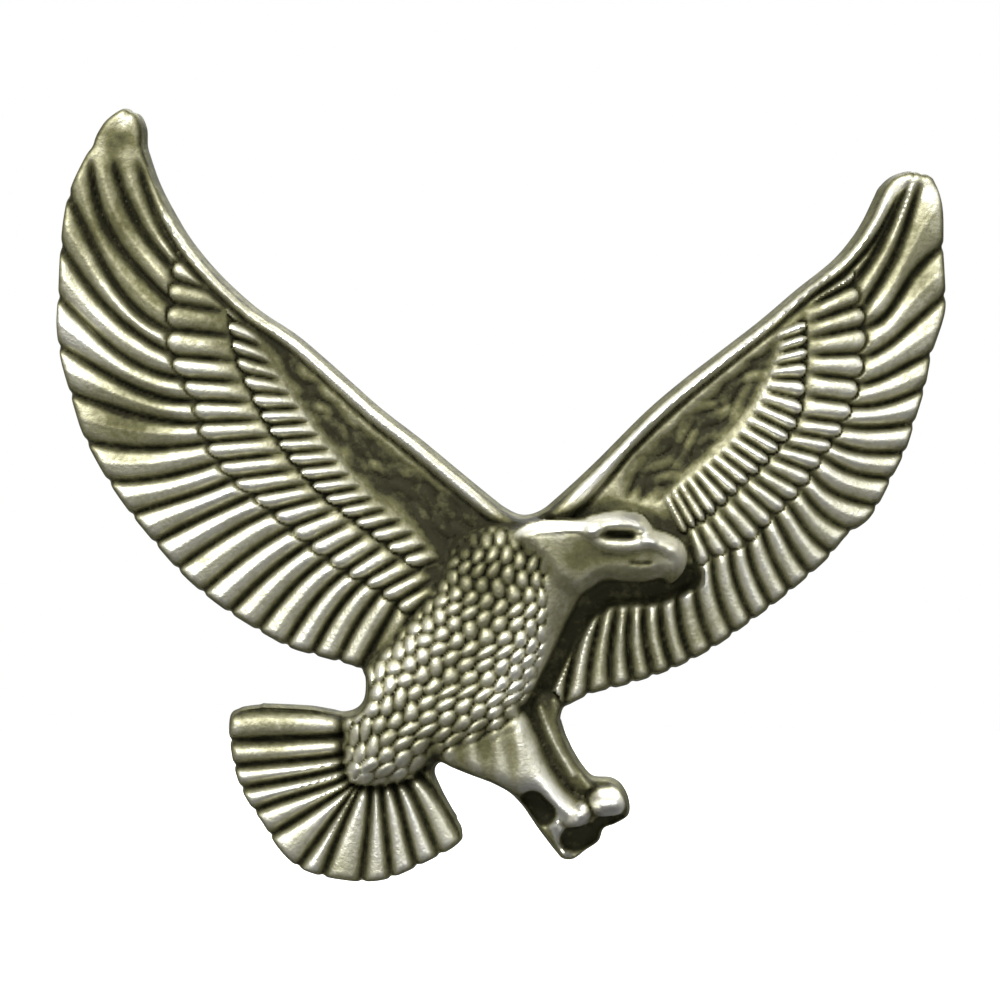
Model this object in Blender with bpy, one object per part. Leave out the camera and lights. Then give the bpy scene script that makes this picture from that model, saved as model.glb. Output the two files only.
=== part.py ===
"""Cap badge: a cast spread eagle with two pin posts on its flat back, each post holding a butterfly clutch.

The badge stands upright in the XZ plane with its face toward -Y and its flat back on y = 0.
The origin is on the back face, behind the breast. Posts and clutches lie along +Y.
Points and lengths in the tables are in millimetres and are scaled to metres when a mesh is made.
"""

import math

import bmesh
import bpy
from mathutils import Matrix, Vector, geometry

MM = 0.001

# Casting
OUTLINE_STEP = 0.8
GRID_CORNERS = ((-26.0, -17.0), (26.0, 28.0))
SIDE_DRAFT = 0.12
EDGE_HEIGHT = 1.05
SHEET_HEIGHT = 1.3
CROWN_RISE = 0.7
CROWN_REACH = 4.5
RIM_INSET = 0.55
RIM_HEIGHT = 1.95
SHOULDER_INSET = 0.5
SHOULDER_HEIGHT = 1.4
GROOVE_DEPTH = 0.25
RIDGE_RISE = 0.3
SCALE_PITCH = 1.25
SCALE_RISE = 0.18
SCALE_DEPTH = 0.14
HOLLOW_DEPTH = 0.35

# Spacing of the points that the casting's faces are drawn through
FINE_STEP = 0.5
FINE_GAP = 0.35
COARSE_STEP = 0.95
COARSE_GAP = 0.57
LINE_GAP = 0.3
EDGE_CLEARANCE = 0.45
SHOULDER_CLEARANCE = 0.35
BACK_STEP = 4.0
BACK_GAP = 2.0
BACK_CLEARANCE = 1.0
DELAUNAY_EPSILON = 1e-6

# Pin posts
POST_X = 13.6
POST_Z = 6.5
POST_RADIUS = 0.575
POST_GAP = 0.06
POST_FLANGE_RADIUS = 2.25
POST_FLANGE_TOP = 0.5
POST_FLANGE_EDGE = 0.12
POST_FILLET = 0.25
POST_LENGTH = 9.8
POST_POINT = 1.1
NECK_Y = 3.0
NECK_HALF_WIDTH = 0.25
NECK_RADIUS = 0.48
SOLDER_RADIUS = 2.95
SOLDER_TOP = 0.4
SOLDER_EDGE = 0.1

# Butterfly clutches
CLUTCH_SEAT = 1.6
SHELL_RADIUS = 5.75
HUB_RADIUS = 3.05
HUB_BORE = 2.75
HUB_TOP = 3.2
TIP_HOLE_RADIUS = 0.8
FLANGE_TOP = 0.82
PRESS_RADIUS = 0.2
RIM_RADIUS = 0.5
RIM_CORNER = 0.15
RIM_LIP = 0.35
SHEET_GAP = 0.06
PLATE_LOW = 0.26
PLATE_HIGH = 0.5
PLATE_RADIUS = 5.14
PLATE_HOLE_RADIUS = 0.75
PLATE_LEAD_RADIUS = 1.2
PLATE_HOLE_LAND = 0.1
WINDOW_LOW = 1.42
WINDOW_HIGH = 2.28
WINDOW_HALF_WIDTH = 1.75
WINDOW_CUT_MARGIN = 0.5
PIVOT_RADIUS = 2.9
PIVOT_HEIGHT = 1.85
WING_THICKNESS = 0.4
JAW_END = 0.08
JAW_NOTCH_RADIUS = 0.66
SPRING_RADIUS = 1.75
SPRING_WIRE_RADIUS = 0.15
SPRING_LOW = 0.71
SPRING_WAVE = 0.26
SPRING_GAP_DEGREES = 40.0
SPRING_STEPS = 28

# Side view of a clutch wing from the jaw to the tip of the finger grip: distance from the post's
# axis, height over the clutch's seat, and half width
WING_STATIONS = (
    (JAW_END, 1.39, 1.15),
    (1.2, 1.57, 1.3),
    (PIVOT_RADIUS, PIVOT_HEIGHT, 1.45),
    (3.45, 1.98, 1.45),
    (3.8, 2.3, 1.7),
    (4.0, 2.75, 2.5),
    (4.25, 3.5, 2.65),
    (4.6, 4.55, 2.6),
    (4.75, 5.0, 2.2),
    (4.85, 5.3, 1.3),
)
JAW_NOTCH_STEPS = 8

ROUND_SEGMENTS = 40
POST_SEGMENTS = 24
WELD_DISTANCE = 1e-5
SMOOTH_DEGREES = 35.0

# Colour, metallic and roughness of each material
PEWTER = ((0.42, 0.41, 0.33), 0.9, 0.38)
POST_STEEL = ((0.62, 0.62, 0.6), 1.0, 0.3)
SOLDER = ((0.5, 0.5, 0.48), 0.9, 0.5)
NICKEL = ((0.66, 0.65, 0.6), 1.0, 0.25)
PLATE_NICKEL = ((0.6, 0.59, 0.55), 1.0, 0.3)
WING_NICKEL = ((0.64, 0.63, 0.58), 1.0, 0.28)
SPRING_STEEL = ((0.5, 0.49, 0.45), 1.0, 0.35)

# Silhouette, clockwise from the tip of the left wing
OUTLINE = [
    (-21.0, 27.2), (-20.3, 26.9), (-19.9, 26.1), (-19.85, 25.1), (-19.2, 23.1), (-18.4, 21.5),
    (-17.3, 19.7),
    (-15.7, 17.8), (-13.6, 15.9), (-11.5, 14.5), (-9.6, 12.9), (-6.8, 10.4), (-4.6, 8.7),
    (-2.9, 7.3), (-1.2, 5.9), (0.2, 4.8), (1.0, 4.4), (1.7, 4.4), (2.4, 4.7),
    (3.8, 5.9), (5.5, 7.5), (8.1, 10.1), (10.2, 11.9), (12.4, 13.6), (14.6, 15.3),
    (16.6, 17.0), (18.7, 18.7), (20.0, 20.3), (20.7, 21.6), (21.3, 22.8), (22.0, 23.4),
    (23.1, 23.7), (24.1, 23.4), (24.7, 22.3), (24.9, 21.0), (24.9, 19.2), (25.0, 17.4),
    (25.0, 15.8), (24.6, 14.4), (24.2, 13.2), (23.9, 11.6), (23.3, 9.6), (22.8, 8.0),
    (22.0, 6.4), (21.3, 5.0), (20.6, 4.0), (19.4, 3.1), (18.5, 2.0), (17.2, 0.8),
    (15.5, -0.6), (13.6, -2.0), (12.2, -3.0), (10.6, -3.9), (9.0, -4.6), (6.8, -5.3),
    (5.2, -5.7), (3.8, -6.4), (3.4, -7.0), (3.6, -7.8), (4.1, -8.9), (4.6, -9.7),
    (5.2, -10.3), (6.2, -10.4), (6.8, -10.8), (7.2, -11.6), (7.2, -12.5), (6.5, -13.0),
    (5.8, -13.3), (5.5, -14.0), (4.8, -14.5), (4.1, -15.0), (3.5, -15.0), (3.1, -14.6),
    (2.1, -13.3), (1.2, -12.0), (0.5, -11.3), (-0.4, -10.8), (-1.7, -10.3), (-2.7, -9.9),
    (-3.4, -9.6), (-3.7, -10.1), (-3.3, -11.1), (-2.7, -12.2), (-2.1, -13.2), (-2.1, -13.8),
    (-2.7, -14.4), (-3.6, -14.9), (-4.6, -15.4), (-6.2, -16.1), (-7.8, -16.3), (-10.0, -16.0),
    (-11.5, -15.4), (-12.6, -14.3), (-13.4, -13.0), (-14.4, -11.5), (-15.0, -9.9), (-15.3, -7.9),
    (-15.2, -6.9), (-14.7, -6.4), (-13.7, -6.25), (-10.5, -6.4), (-8.8, -6.7), (-8.1, -6.5),
    (-7.7, -6.0), (-7.6, -5.2), (-7.7, -4.6), (-8.2, -4.2), (-9.6, -3.8), (-11.7, -3.2),
    (-12.9, -2.6), (-14.1, -1.9), (-15.8, -0.8), (-17.3, 0.4), (-18.4, 1.5), (-19.6, 2.9),
    (-20.9, 4.5), (-22.2, 6.4), (-23.4, 8.6), (-23.9, 10.0), (-24.3, 11.4), (-24.7, 12.8),
    (-24.9, 14.0), (-25.0, 15.2), (-24.9, 16.8), (-24.8, 19.0), (-24.6, 21.0), (-24.2, 22.7),
    (-23.3, 24.6), (-22.2, 26.5),
]

# Leading edges of the wings, from each tip to the notch between them, as runs of the outline
LEFT_LEADING_EDGE = ((-20.0, 25.2), (1.0, 4.4))
RIGHT_LEADING_EDGE = ((2.4, 4.7), (21.3, 22.8))

# Feather rows. Each entry is one groove between two feathers: its number in the row, then points
# along it from root to tip. Grooves with no entry of their own lie between their neighbours.
LEFT_FLIGHT_FEATHERS = [
    (0, (-17.8, 18.7), (-19.2, 21.0), (-20.1, 23.6), (-20.6, 26.6)),
    (1, (-18.1, 17.9), (-19.8, 19.9), (-21.1, 22.4), (-21.7, 25.6)),
    (2, (-18.2, 16.0), (-20.4, 18.2), (-22.1, 20.7), (-22.9, 24.2)),
    (3, (-18.2, 14.5), (-20.6, 16.1), (-22.4, 18.7), (-24.1, 22.1)),
    (4, (-18.1, 13.2), (-20.5, 14.6), (-22.5, 16.5), (-24.6, 19.4)),
    (5, (-17.5, 11.9), (-20.0, 12.6), (-22.2, 14.1), (-24.8, 16.6)),
    (6, (-16.9, 10.7), (-19.4, 11.0), (-21.8, 12.1), (-24.9, 13.9)),
    (7, (-16.5, 9.5), (-18.9, 9.6), (-21.4, 10.2), (-24.2, 11.2)),
    (8, (-16.2, 8.4), (-18.6, 8.1), (-21.0, 8.1), (-23.5, 8.6)),
    (9, (-15.7, 7.3), (-17.8, 6.7), (-20.0, 6.3), (-22.3, 6.3)),
    (10, (-14.8, 6.4), (-16.8, 5.6), (-18.7, 5.0), (-20.9, 4.3)),
    (12, (-12.6, 4.6), (-14.5, 3.7), (-16.3, 2.6), (-18.2, 1.3)),
    (14, (-10.6, 2.8), (-12.2, 1.7), (-13.7, 0.4), (-15.3, -1.2)),
    (16, (-8.5, 1.3), (-9.8, 0.2), (-11.0, -1.3), (-12.2, -3.2)),
    (18, (-6.6, 0.2), (-7.4, -0.8), (-8.3, -2.2), (-9.2, -4.1)),
    (20, (-4.9, -1.2), (-5.3, -2.4), (-5.9, -3.7), (-6.8, -5.0)),
]
LEFT_GREATER_COVERTS = [
    (2, (-15.1, 15.6), (-18.3, 16.1)),
    (4, (-14.5, 12.9), (-18.2, 13.2)),
    (6, (-13.6, 10.6), (-17.0, 10.7)),
    (8, (-12.5, 8.7), (-16.3, 8.4)),
    (10, (-11.1, 6.9), (-14.9, 6.4)),
    (12, (-9.7, 5.4), (-12.7, 4.6)),
    (14, (-8.1, 4.1), (-10.7, 2.8)),
    (16, (-6.3, 2.8), (-8.6, 1.3)),
    (18, (-4.4, 1.4), (-6.7, 0.2)),
]
LEFT_LESSER_COVERTS = [
    (1, (-12.9, 13.7), (-14.9, 14.5)),
    (4, (-11.6, 11.0), (-13.9, 11.2)),
    (7, (-10.1, 9.0), (-12.6, 8.8)),
    (10, (-8.4, 6.8), (-10.9, 6.7)),
    (13, (-6.4, 4.9), (-8.6, 4.3)),
]
RIGHT_FLIGHT_FEATHERS = [
    (0, (19.6, 17.2), (20.9, 19.0), (21.8, 20.8), (22.8, 22.9)),
    (1, (20.2, 15.9), (21.5, 17.9), (22.4, 19.8), (23.4, 22.9)),
    (2, (20.3, 14.8), (21.8, 15.9), (23.0, 17.7), (25.1, 19.6)),
    (3, (20.2, 13.1), (21.7, 13.9), (23.1, 15.1), (25.2, 16.9)),
    (4, (19.9, 11.6), (21.3, 12.0), (22.7, 12.7), (24.6, 13.6)),
    (5, (19.5, 10.4), (21.0, 10.5), (22.4, 10.9), (24.0, 11.6)),
    (6, (19.1, 9.3), (20.5, 9.2), (22.0, 9.3), (23.6, 9.6)),
    (7, (18.4, 8.4), (20.0, 7.9), (21.5, 7.8), (23.1, 7.9)),
    (8, (17.8, 7.7), (19.1, 6.9), (20.5, 6.5), (22.3, 6.4)),
    (9, (17.2, 6.8), (18.2, 5.8), (19.5, 5.2), (21.4, 4.8)),
    (10, (16.6, 5.9), (17.5, 4.8), (18.6, 3.9), (20.2, 3.4)),
    (12, (15.1, 4.5), (15.8, 3.3), (16.5, 2.1), (17.5, 0.9)),
    (14, (13.7, 3.1), (13.9, 1.9), (14.4, 0.6), (15.2, -0.9)),
    (16, (11.8, 2.2), (11.9, 0.8), (12.3, -0.7), (13.1, -2.4)),
    (18, (9.8, 0.3), (9.9, -1.1), (10.2, -2.5), (10.8, -4.0)),
    (20, (8.0, -0.8), (8.0, -2.1), (8.2, -3.4), (8.6, -4.9)),
    (22, (6.4, -1.1), (6.2, -2.6), (6.1, -4.0), (6.2, -5.6)),
    (24, (4.8, -1.4), (4.2, -3.1), (3.8, -4.8), (3.5, -6.6)),
]
RIGHT_GREATER_COVERTS = [
    (1, (16.9, 14.9), (19.9, 15.9)),
    (4, (16.9, 12.2), (19.8, 11.9)),
    (6, (16.5, 9.8), (19.0, 9.5)),
    (8, (15.5, 8.3), (17.8, 7.7)),
    (10, (14.4, 7.1), (16.6, 5.9)),
    (12, (13.2, 6.1), (15.1, 4.4)),
    (14, (12.0, 4.9), (13.6, 2.9)),
    (16, (10.8, 4.0), (11.7, 2.1)),
]
RIGHT_LESSER_COVERTS = [
    (2, (15.1, 13.2), (16.8, 13.6)),
    (5, (14.5, 11.3), (16.5, 10.8)),
    (8, (13.4, 9.5), (15.4, 8.4)),
    (11, (12.0, 7.9), (13.8, 6.6)),
    (14, (10.5, 6.8), (12.0, 5.0)),
]
TAIL_FEATHERS = [
    (0, (-8.4, -6.8), (-10.6, -6.6), (-12.9, -6.5), (-15.3, -6.6)),
    (1, (-8.5, -8.0), (-10.7, -8.1), (-12.9, -8.2), (-15.3, -8.3)),
    (2, (-8.5, -9.0), (-10.6, -9.3), (-12.8, -9.5), (-15.1, -9.7)),
    (3, (-8.5, -9.7), (-10.5, -10.2), (-12.6, -10.6), (-14.8, -11.0)),
    (4, (-8.5, -10.3), (-10.3, -11.0), (-12.2, -11.6), (-14.2, -12.4)),
    (5, (-8.4, -10.8), (-10.0, -11.8), (-11.6, -12.8), (-13.3, -13.8)),
    (6, (-8.2, -11.0), (-9.3, -12.5), (-10.3, -13.9), (-11.5, -15.5)),
    (7, (-7.9, -11.0), (-8.5, -12.7), (-9.1, -14.4), (-9.7, -16.2)),
    (8, (-7.3, -11.0), (-7.4, -12.7), (-7.6, -14.5), (-7.8, -16.4)),
    (9, (-6.7, -10.9), (-6.5, -12.6), (-6.3, -14.4), (-6.1, -16.3)),
    (10, (-6.0, -10.8), (-5.5, -12.4), (-5.1, -14.0), (-4.6, -15.6)),
    (11, (-5.3, -10.6), (-4.6, -11.9), (-4.0, -13.3), (-3.3, -14.9)),
    (12, (-4.5, -10.2), (-3.6, -11.3), (-2.8, -12.5), (-2.1, -13.6)),
]
LONG_FEATHER_STATIONS = (0.06, 0.25, 0.45, 0.65, 0.85)
SHORT_FEATHER_STATIONS = (0.12, 0.5, 0.88)
FEATHER_ROWS = (
    (LEFT_FLIGHT_FEATHERS, LONG_FEATHER_STATIONS),
    (RIGHT_FLIGHT_FEATHERS, LONG_FEATHER_STATIONS),
    (TAIL_FEATHERS, LONG_FEATHER_STATIONS),
    (LEFT_GREATER_COVERTS, SHORT_FEATHER_STATIONS),
    (RIGHT_GREATER_COVERTS, SHORT_FEATHER_STATIONS),
    (LEFT_LESSER_COVERTS, SHORT_FEATHER_STATIONS),
    (RIGHT_LESSER_COVERTS, SHORT_FEATHER_STATIONS),
)

# Sunk areas between the coverts and the leading edge, covered in small scale feathers
LEFT_WING_HOLLOW = [
    (-15.3, 16.3), (-13.4, 14.9), (-10.0, 11.9), (-6.4, 8.7), (-2.8, 6.0), (-0.2, 3.8),
    (-2.6, 1.7), (-5.2, 4.3), (-7.6, 6.3), (-9.6, 8.6), (-11.4, 11.2), (-12.9, 14.0),
]
RIGHT_WING_HOLLOW = [
    (14.9, 13.9), (12.0, 11.8), (9.4, 9.5), (7.2, 7.4), (6.7, 5.5), (9.0, 4.8),
    (10.3, 6.8), (12.0, 8.1), (13.4, 9.8), (14.6, 11.8),
]

# Lines along which each wing's sheet is thickest
WING_CROWNS = (
    ((-17.5, 14.5), (-13.0, 9.0), (-8.0, 3.5), (-3.0, 0.5)),
    ((17.5, 13.5), (15.0, 8.0), (11.0, 4.0)),
)

# Rounded forms that stand out of the sheet: start and end of the centre line, radius at each end,
# and height over the back plane at each end
BREAST = ((1.4, 0.4), (-3.4, -5.6), 3.0, 3.7, 3.9, 3.5)
TAIL_COVERTS = ((-4.4, -6.4), (-6.6, -8.9), 3.0, 2.2, 3.1, 2.4)
NECK = ((2.9, 2.0), (2.9, -1.6), 1.9, 1.2, 4.2, 3.9)
HEAD = ((3.0, 2.2), (7.2, 2.2), 1.9, 1.9, 4.6, 4.5)
BEAK = ((7.2, 2.2), (9.5, 2.1), 1.7, 0.9, 4.4, 3.8)
BEAK_HOOK = ((9.5, 2.1), (9.8, 0.9), 0.9, 0.45, 3.7, 2.9)
CROWN = ((1.4, 3.6), (4.7, 3.6), 0.45, 0.55, 4.3, 4.8)
BROW = ((5.4, 3.8), (7.8, 3.8), 0.6, 0.55, 5.1, 5.0)
CHEEK = ((5.2, 2.8), (8.0, 2.6), 0.4, 0.45, 4.7, 4.6)
THIGH = ((-1.6, -7.4), (1.4, -9.9), 2.3, 1.5, 3.3, 2.7)
SHIN = ((1.4, -9.6), (3.9, -12.2), 1.5, 0.9, 2.9, 2.6)
REAR_LEG = ((2.1, -7.0), (4.7, -10.6), 1.2, 0.9, 2.3, 2.3)
FRONT_TOES = ((3.9, -12.2), (6.2, -11.7), 0.9, 1.0, 2.6, 2.8)
REAR_TOE = ((3.7, -12.2), (3.9, -14.2), 0.9, 0.7, 2.5, 2.0)
SCALED_FORMS = (BREAST, TAIL_COVERTS, THIGH)
FINE_FORMS = (
    NECK, HEAD, BEAK, BEAK_HOOK, CROWN, BROW, CHEEK, SHIN, REAR_LEG, FRONT_TOES, REAR_TOE,
)
ROUNDED_FORMS = SCALED_FORMS + FINE_FORMS

CHIN_HOLLOW = ((5.0, -0.3), (9.6, -0.2))
CHIN_HOLLOW_RADIUS = 1.1
CHIN_HOLLOW_HEIGHT = 0.9


def catmull_rom(before, start, end, after, t):
    """Point at t from start to end on a smooth curve through four points."""
    t2 = t * t
    t3 = t2 * t
    return 0.5 * (
        2 * start
        + (end - before) * t
        + (2 * before - 5 * start + 4 * end - after) * t2
        + (3 * start - before - 3 * end + after) * t3
    )


def closed_curve(points, step):
    """Points about one step apart along a smooth closed curve through the given points."""
    corners = [Vector(p) for p in points]
    count = len(corners)
    curve = []
    for i in range(count):
        around = [corners[(i + k) % count] for k in (-1, 0, 1, 2)]
        pieces = max(1, round((around[2] - around[1]).length / step))
        curve += [catmull_rom(*around, k / pieces) for k in range(pieces)]
    return curve


def inward_normals(loop):
    """Unit normals that point into a clockwise loop."""
    normals = []
    for i, point in enumerate(loop):
        along = loop[(i + 1) % len(loop)] - loop[i - 1]
        normals.append(Vector((along.y, -along.x)).normalized())
    return normals


def to_segment(point, start, end):
    """Distance from a point to a segment, and how far along the segment the nearest point is."""
    along = end - start
    t = max(0.0, min(1.0, (point - start).dot(along) / along.length_squared))
    return (point - start - along * t).length, t


def to_loop(point, loop):
    return min(to_segment(point, loop[i - 1], loop[i])[0] for i in range(len(loop)))


def inside(point, loop):
    crossings = False
    for i in range(len(loop)):
        a = loop[i - 1]
        b = loop[i]
        if (a.y > point.y) != (b.y > point.y):
            if point.x < a.x + (b.x - a.x) * (point.y - a.y) / (b.y - a.y):
                crossings = not crossings
    return crossings


def form_height(form, point):
    """Height of a rounded form at a point, 0 outside it."""
    start, end, start_radius, end_radius, start_height, end_height = form
    distance, t = to_segment(point, Vector(start), Vector(end))
    ratio = distance / (start_radius + (end_radius - start_radius) * t)
    if ratio >= 1:
        return 0.0
    return (start_height + (end_height - start_height) * t) * math.sqrt(1 - ratio * ratio)


def sheet_height(point):
    nearest = min(
        to_segment(point, Vector(line[i]), Vector(line[i + 1]))[0]
        for line in WING_CROWNS
        for i in range(len(line) - 1)
    )
    return SHEET_HEIGHT + CROWN_RISE * math.exp(-((nearest / CROWN_REACH) ** 2))


def relief(point):
    """Front height over the back plane, without feathers."""
    distance = to_segment(point, Vector(CHIN_HOLLOW[0]), Vector(CHIN_HOLLOW[1]))[0]
    low = CHIN_HOLLOW_HEIGHT if distance < CHIN_HOLLOW_RADIUS else sheet_height(point)
    return max([low] + [form_height(form, point) for form in ROUNDED_FORMS])


def cubic_through(points, t):
    """Point at t on the cubic through four points at 0, 1/3, 2/3 and 1."""
    a = t - 1 / 3
    b = t - 2 / 3
    c = t - 1
    return (
        points[0] * (-4.5 * a * b * c)
        + points[1] * (13.5 * t * b * c)
        + points[2] * (-13.5 * t * a * c)
        + points[3] * (4.5 * t * a * b)
    )


def groove_points(entry):
    points = [Vector(p) for p in entry[1:]]
    if len(points) == 2:
        points = [points[0].lerp(points[1], k / 3) for k in range(4)]
    return points


def row_line(row, number):
    """The four points of the line with this number, whole on a groove and half on a ridge."""
    place = max(i for i in range(len(row) - 1) if row[i][0] <= number or i == 0)
    low, high = row[place], row[place + 1]
    t = (number - low[0]) / (high[0] - low[0])
    return [a.lerp(b, t) for a, b in zip(groove_points(low), groove_points(high))]


class FrontPoints:
    """Points of the casting's front, each with a height, none too near another or the edge."""

    def __init__(self, loop):
        self.loop = loop
        self.points = []
        self.heights = []
        self.creases = []
        self.cells = {}

    def near(self, point, gap):
        cx = math.floor(point.x)
        cy = math.floor(point.y)
        for i in (-1, 0, 1):
            for j in (-1, 0, 1):
                for other in self.cells.get((cx + i, cy + j), ()):
                    if (other - point).length < gap:
                        return True
        return False

    def add(self, point, height, gap, clearance=EDGE_CLEARANCE):
        """Keeps the point if there is room for it, and says whether it was kept."""
        if self.near(point, gap) or not inside(point, self.loop):
            return False
        if to_loop(point, self.loop) < clearance:
            return False
        self.points.append(point)
        self.heights.append(height)
        self.cells.setdefault((math.floor(point.x), math.floor(point.y)), []).append(point)
        return True


def grid(step):
    """A triangular grid of points over the badge."""
    (left, bottom), (right, top) = GRID_CORNERS
    row = 0
    z = bottom
    while z < top:
        x = left + (row % 2) * step / 2
        while x < right:
            yield Vector((x, z))
            x += step
        z += step * math.sqrt(3) / 2
        row += 1


def add_leading_edge(front, loop, ends):
    """A raised line just inside the leading edge of a wing."""
    first = min(range(len(loop)), key=lambda i: (loop[i] - Vector(ends[0])).length)
    last = min(range(len(loop)), key=lambda i: (loop[i] - Vector(ends[1])).length)
    normals = inward_normals(loop)
    for i in range(first, last + 1):
        front.add(loop[i] + normals[i] * RIM_INSET, RIM_HEIGHT, LINE_GAP)


def add_shoulder(front, loop):
    """A line just inside the whole edge, where the side turns over into the front."""
    for point, normal in zip(loop, inward_normals(loop)):
        place = point + normal * SHOULDER_INSET
        front.add(place, SHOULDER_HEIGHT, LINE_GAP, SHOULDER_CLEARANCE)


def add_feathers(front):
    for row, stations in FEATHER_ROWS:
        first, last = row[0][0], row[-1][0]
        for half in range(2 * first, 2 * last + 1):
            line = row_line(row, half / 2)
            step = -GROOVE_DEPTH if half % 2 == 0 else RIDGE_RISE
            kept = False
            for t in stations:
                point = cubic_through(line, t)
                clear = max(form_height(form, point) for form in ROUNDED_FORMS) <= SHEET_HEIGHT
                was_kept = kept
                kept = clear and front.add(point, sheet_height(point) + step, LINE_GAP)
                if kept and was_kept:
                    last_point = len(front.points) - 1
                    front.creases.append((last_point - 1, last_point))


def scale_base(point):
    """Height under a scale feather, or None where there are none."""
    if max(form_height(form, point) for form in FINE_FORMS) > SHEET_HEIGHT:
        return None
    if max(form_height(form, point) for form in SCALED_FORMS) > SHEET_HEIGHT:
        return relief(point)
    for hollow in (LEFT_WING_HOLLOW, RIGHT_WING_HOLLOW):
        if inside(point, [Vector(p) for p in hollow]):
            return sheet_height(point) - HOLLOW_DEPTH
    return None


def add_scales(front):
    """Scale feathers as raised points, each with a low point halfway to each neighbour."""
    halfway = [
        Vector((math.cos(angle), math.sin(angle))) * (SCALE_PITCH / 2)
        for angle in (0, math.pi / 3, 2 * math.pi / 3)
    ]
    for point in grid(SCALE_PITCH):
        base = scale_base(point)
        if base is not None:
            front.add(point, base + SCALE_RISE, FINE_GAP)
        for offset in halfway:
            low_base = scale_base(point + offset)
            if low_base is not None:
                front.add(point + offset, low_base - SCALE_DEPTH, FINE_GAP)


def casting_mesh():
    outline = closed_curve(OUTLINE, OUTLINE_STEP)
    normals = inward_normals(outline)
    edge = [p + n * SIDE_DRAFT for p, n in zip(outline, normals)]
    front = FrontPoints(edge)
    add_leading_edge(front, outline, LEFT_LEADING_EDGE)
    add_leading_edge(front, outline, RIGHT_LEADING_EDGE)
    add_shoulder(front, outline)
    for point in grid(FINE_STEP):
        if max(form_height(form, point) for form in FINE_FORMS) > SHEET_HEIGHT:
            front.add(point, relief(point), FINE_GAP)
    add_scales(front)
    add_feathers(front)
    for point in grid(COARSE_STEP):
        front.add(point, relief(point), COARSE_GAP)

    mesh = bmesh.new()
    back_rim = [mesh.verts.new((p.x, 0, p.y)) for p in outline]
    front_rim = [mesh.verts.new((p.x, -EDGE_HEIGHT, p.y)) for p in edge]
    count = len(outline)
    for i in range(count):
        j = (i + 1) % count
        mesh.faces.new((back_rim[i], back_rim[j], front_rim[j], front_rim[i]))
    inner = [mesh.verts.new((p.x, -h, p.y)) for p, h in zip(front.points, front.heights)]
    fill(mesh, edge, front.points, front_rim + inner, front.creases)
    back = FrontPoints(outline)
    for point in grid(BACK_STEP):
        back.add(point, 0, BACK_GAP, BACK_CLEARANCE)
    inner = [mesh.verts.new((p.x, 0, p.y)) for p in back.points]
    fill(mesh, outline, back.points, back_rim + inner)
    bmesh.ops.recalc_face_normals(mesh, faces=mesh.faces)
    return mesh


def fill(mesh, loop, points, verts, creases=()):
    """Triangles over the inside of a loop, through the points given and with an edge on each crease."""
    flat = list(loop) + list(points)
    count = len(loop)
    edges = [(i, (i + 1) % count) for i in range(count)]
    edges += [(count + a, count + b) for a, b in creases]
    faces = geometry.delaunay_2d_cdt(flat, edges, [], 1, DELAUNAY_EPSILON)[2]
    for face in faces:
        mesh.faces.new([verts[i] for i in face])


def revolved_mesh(profile, segments, closed):
    """A profile of (radius, y) points turned about the Y axis."""
    mesh = bmesh.new()
    verts = [mesh.verts.new((r, y, 0)) for r, y in profile]
    edges = [mesh.edges.new((verts[i], verts[i + 1])) for i in range(len(verts) - 1)]
    if closed:
        edges.append(mesh.edges.new((verts[-1], verts[0])))
    bmesh.ops.spin(
        mesh,
        geom=verts + edges,
        cent=(0, 0, 0),
        axis=(0, 1, 0),
        angle=2 * math.pi,
        steps=segments,
        use_merge=True,
    )
    bmesh.ops.remove_doubles(mesh, verts=mesh.verts, dist=WELD_DISTANCE)
    bmesh.ops.recalc_face_normals(mesh, faces=mesh.faces)
    return mesh


def post_mesh():
    neck_low = NECK_Y - NECK_HALF_WIDTH
    neck_high = NECK_Y + NECK_HALF_WIDTH
    slope = POST_RADIUS - NECK_RADIUS
    profile = [
        (0, POST_GAP),
        (POST_FLANGE_RADIUS, POST_GAP),
        (POST_FLANGE_RADIUS, POST_FLANGE_TOP - POST_FLANGE_EDGE),
        (POST_FLANGE_RADIUS - POST_FLANGE_EDGE, POST_FLANGE_TOP),
        (POST_RADIUS + POST_FILLET, POST_FLANGE_TOP),
        (POST_RADIUS, POST_FLANGE_TOP + POST_FILLET),
        (POST_RADIUS, neck_low - slope),
        (NECK_RADIUS, neck_low),
        (NECK_RADIUS, neck_high),
        (POST_RADIUS, neck_high + slope),
        (POST_RADIUS, POST_LENGTH - POST_POINT),
        (POST_RADIUS * 0.6, POST_LENGTH - POST_POINT * 0.3),
        (0, POST_LENGTH),
    ]
    return revolved_mesh(profile, POST_SEGMENTS, False)


def solder_mesh():
    inner = POST_FLANGE_RADIUS + POST_GAP
    profile = [
        (inner, POST_GAP),
        (SOLDER_RADIUS, POST_GAP),
        (SOLDER_RADIUS - SOLDER_EDGE, POST_GAP + SOLDER_EDGE),
        (inner + 2 * SOLDER_EDGE, SOLDER_TOP - 2 * SOLDER_EDGE),
        (inner, SOLDER_TOP),
    ]
    return revolved_mesh(profile, POST_SEGMENTS, True)


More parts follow.
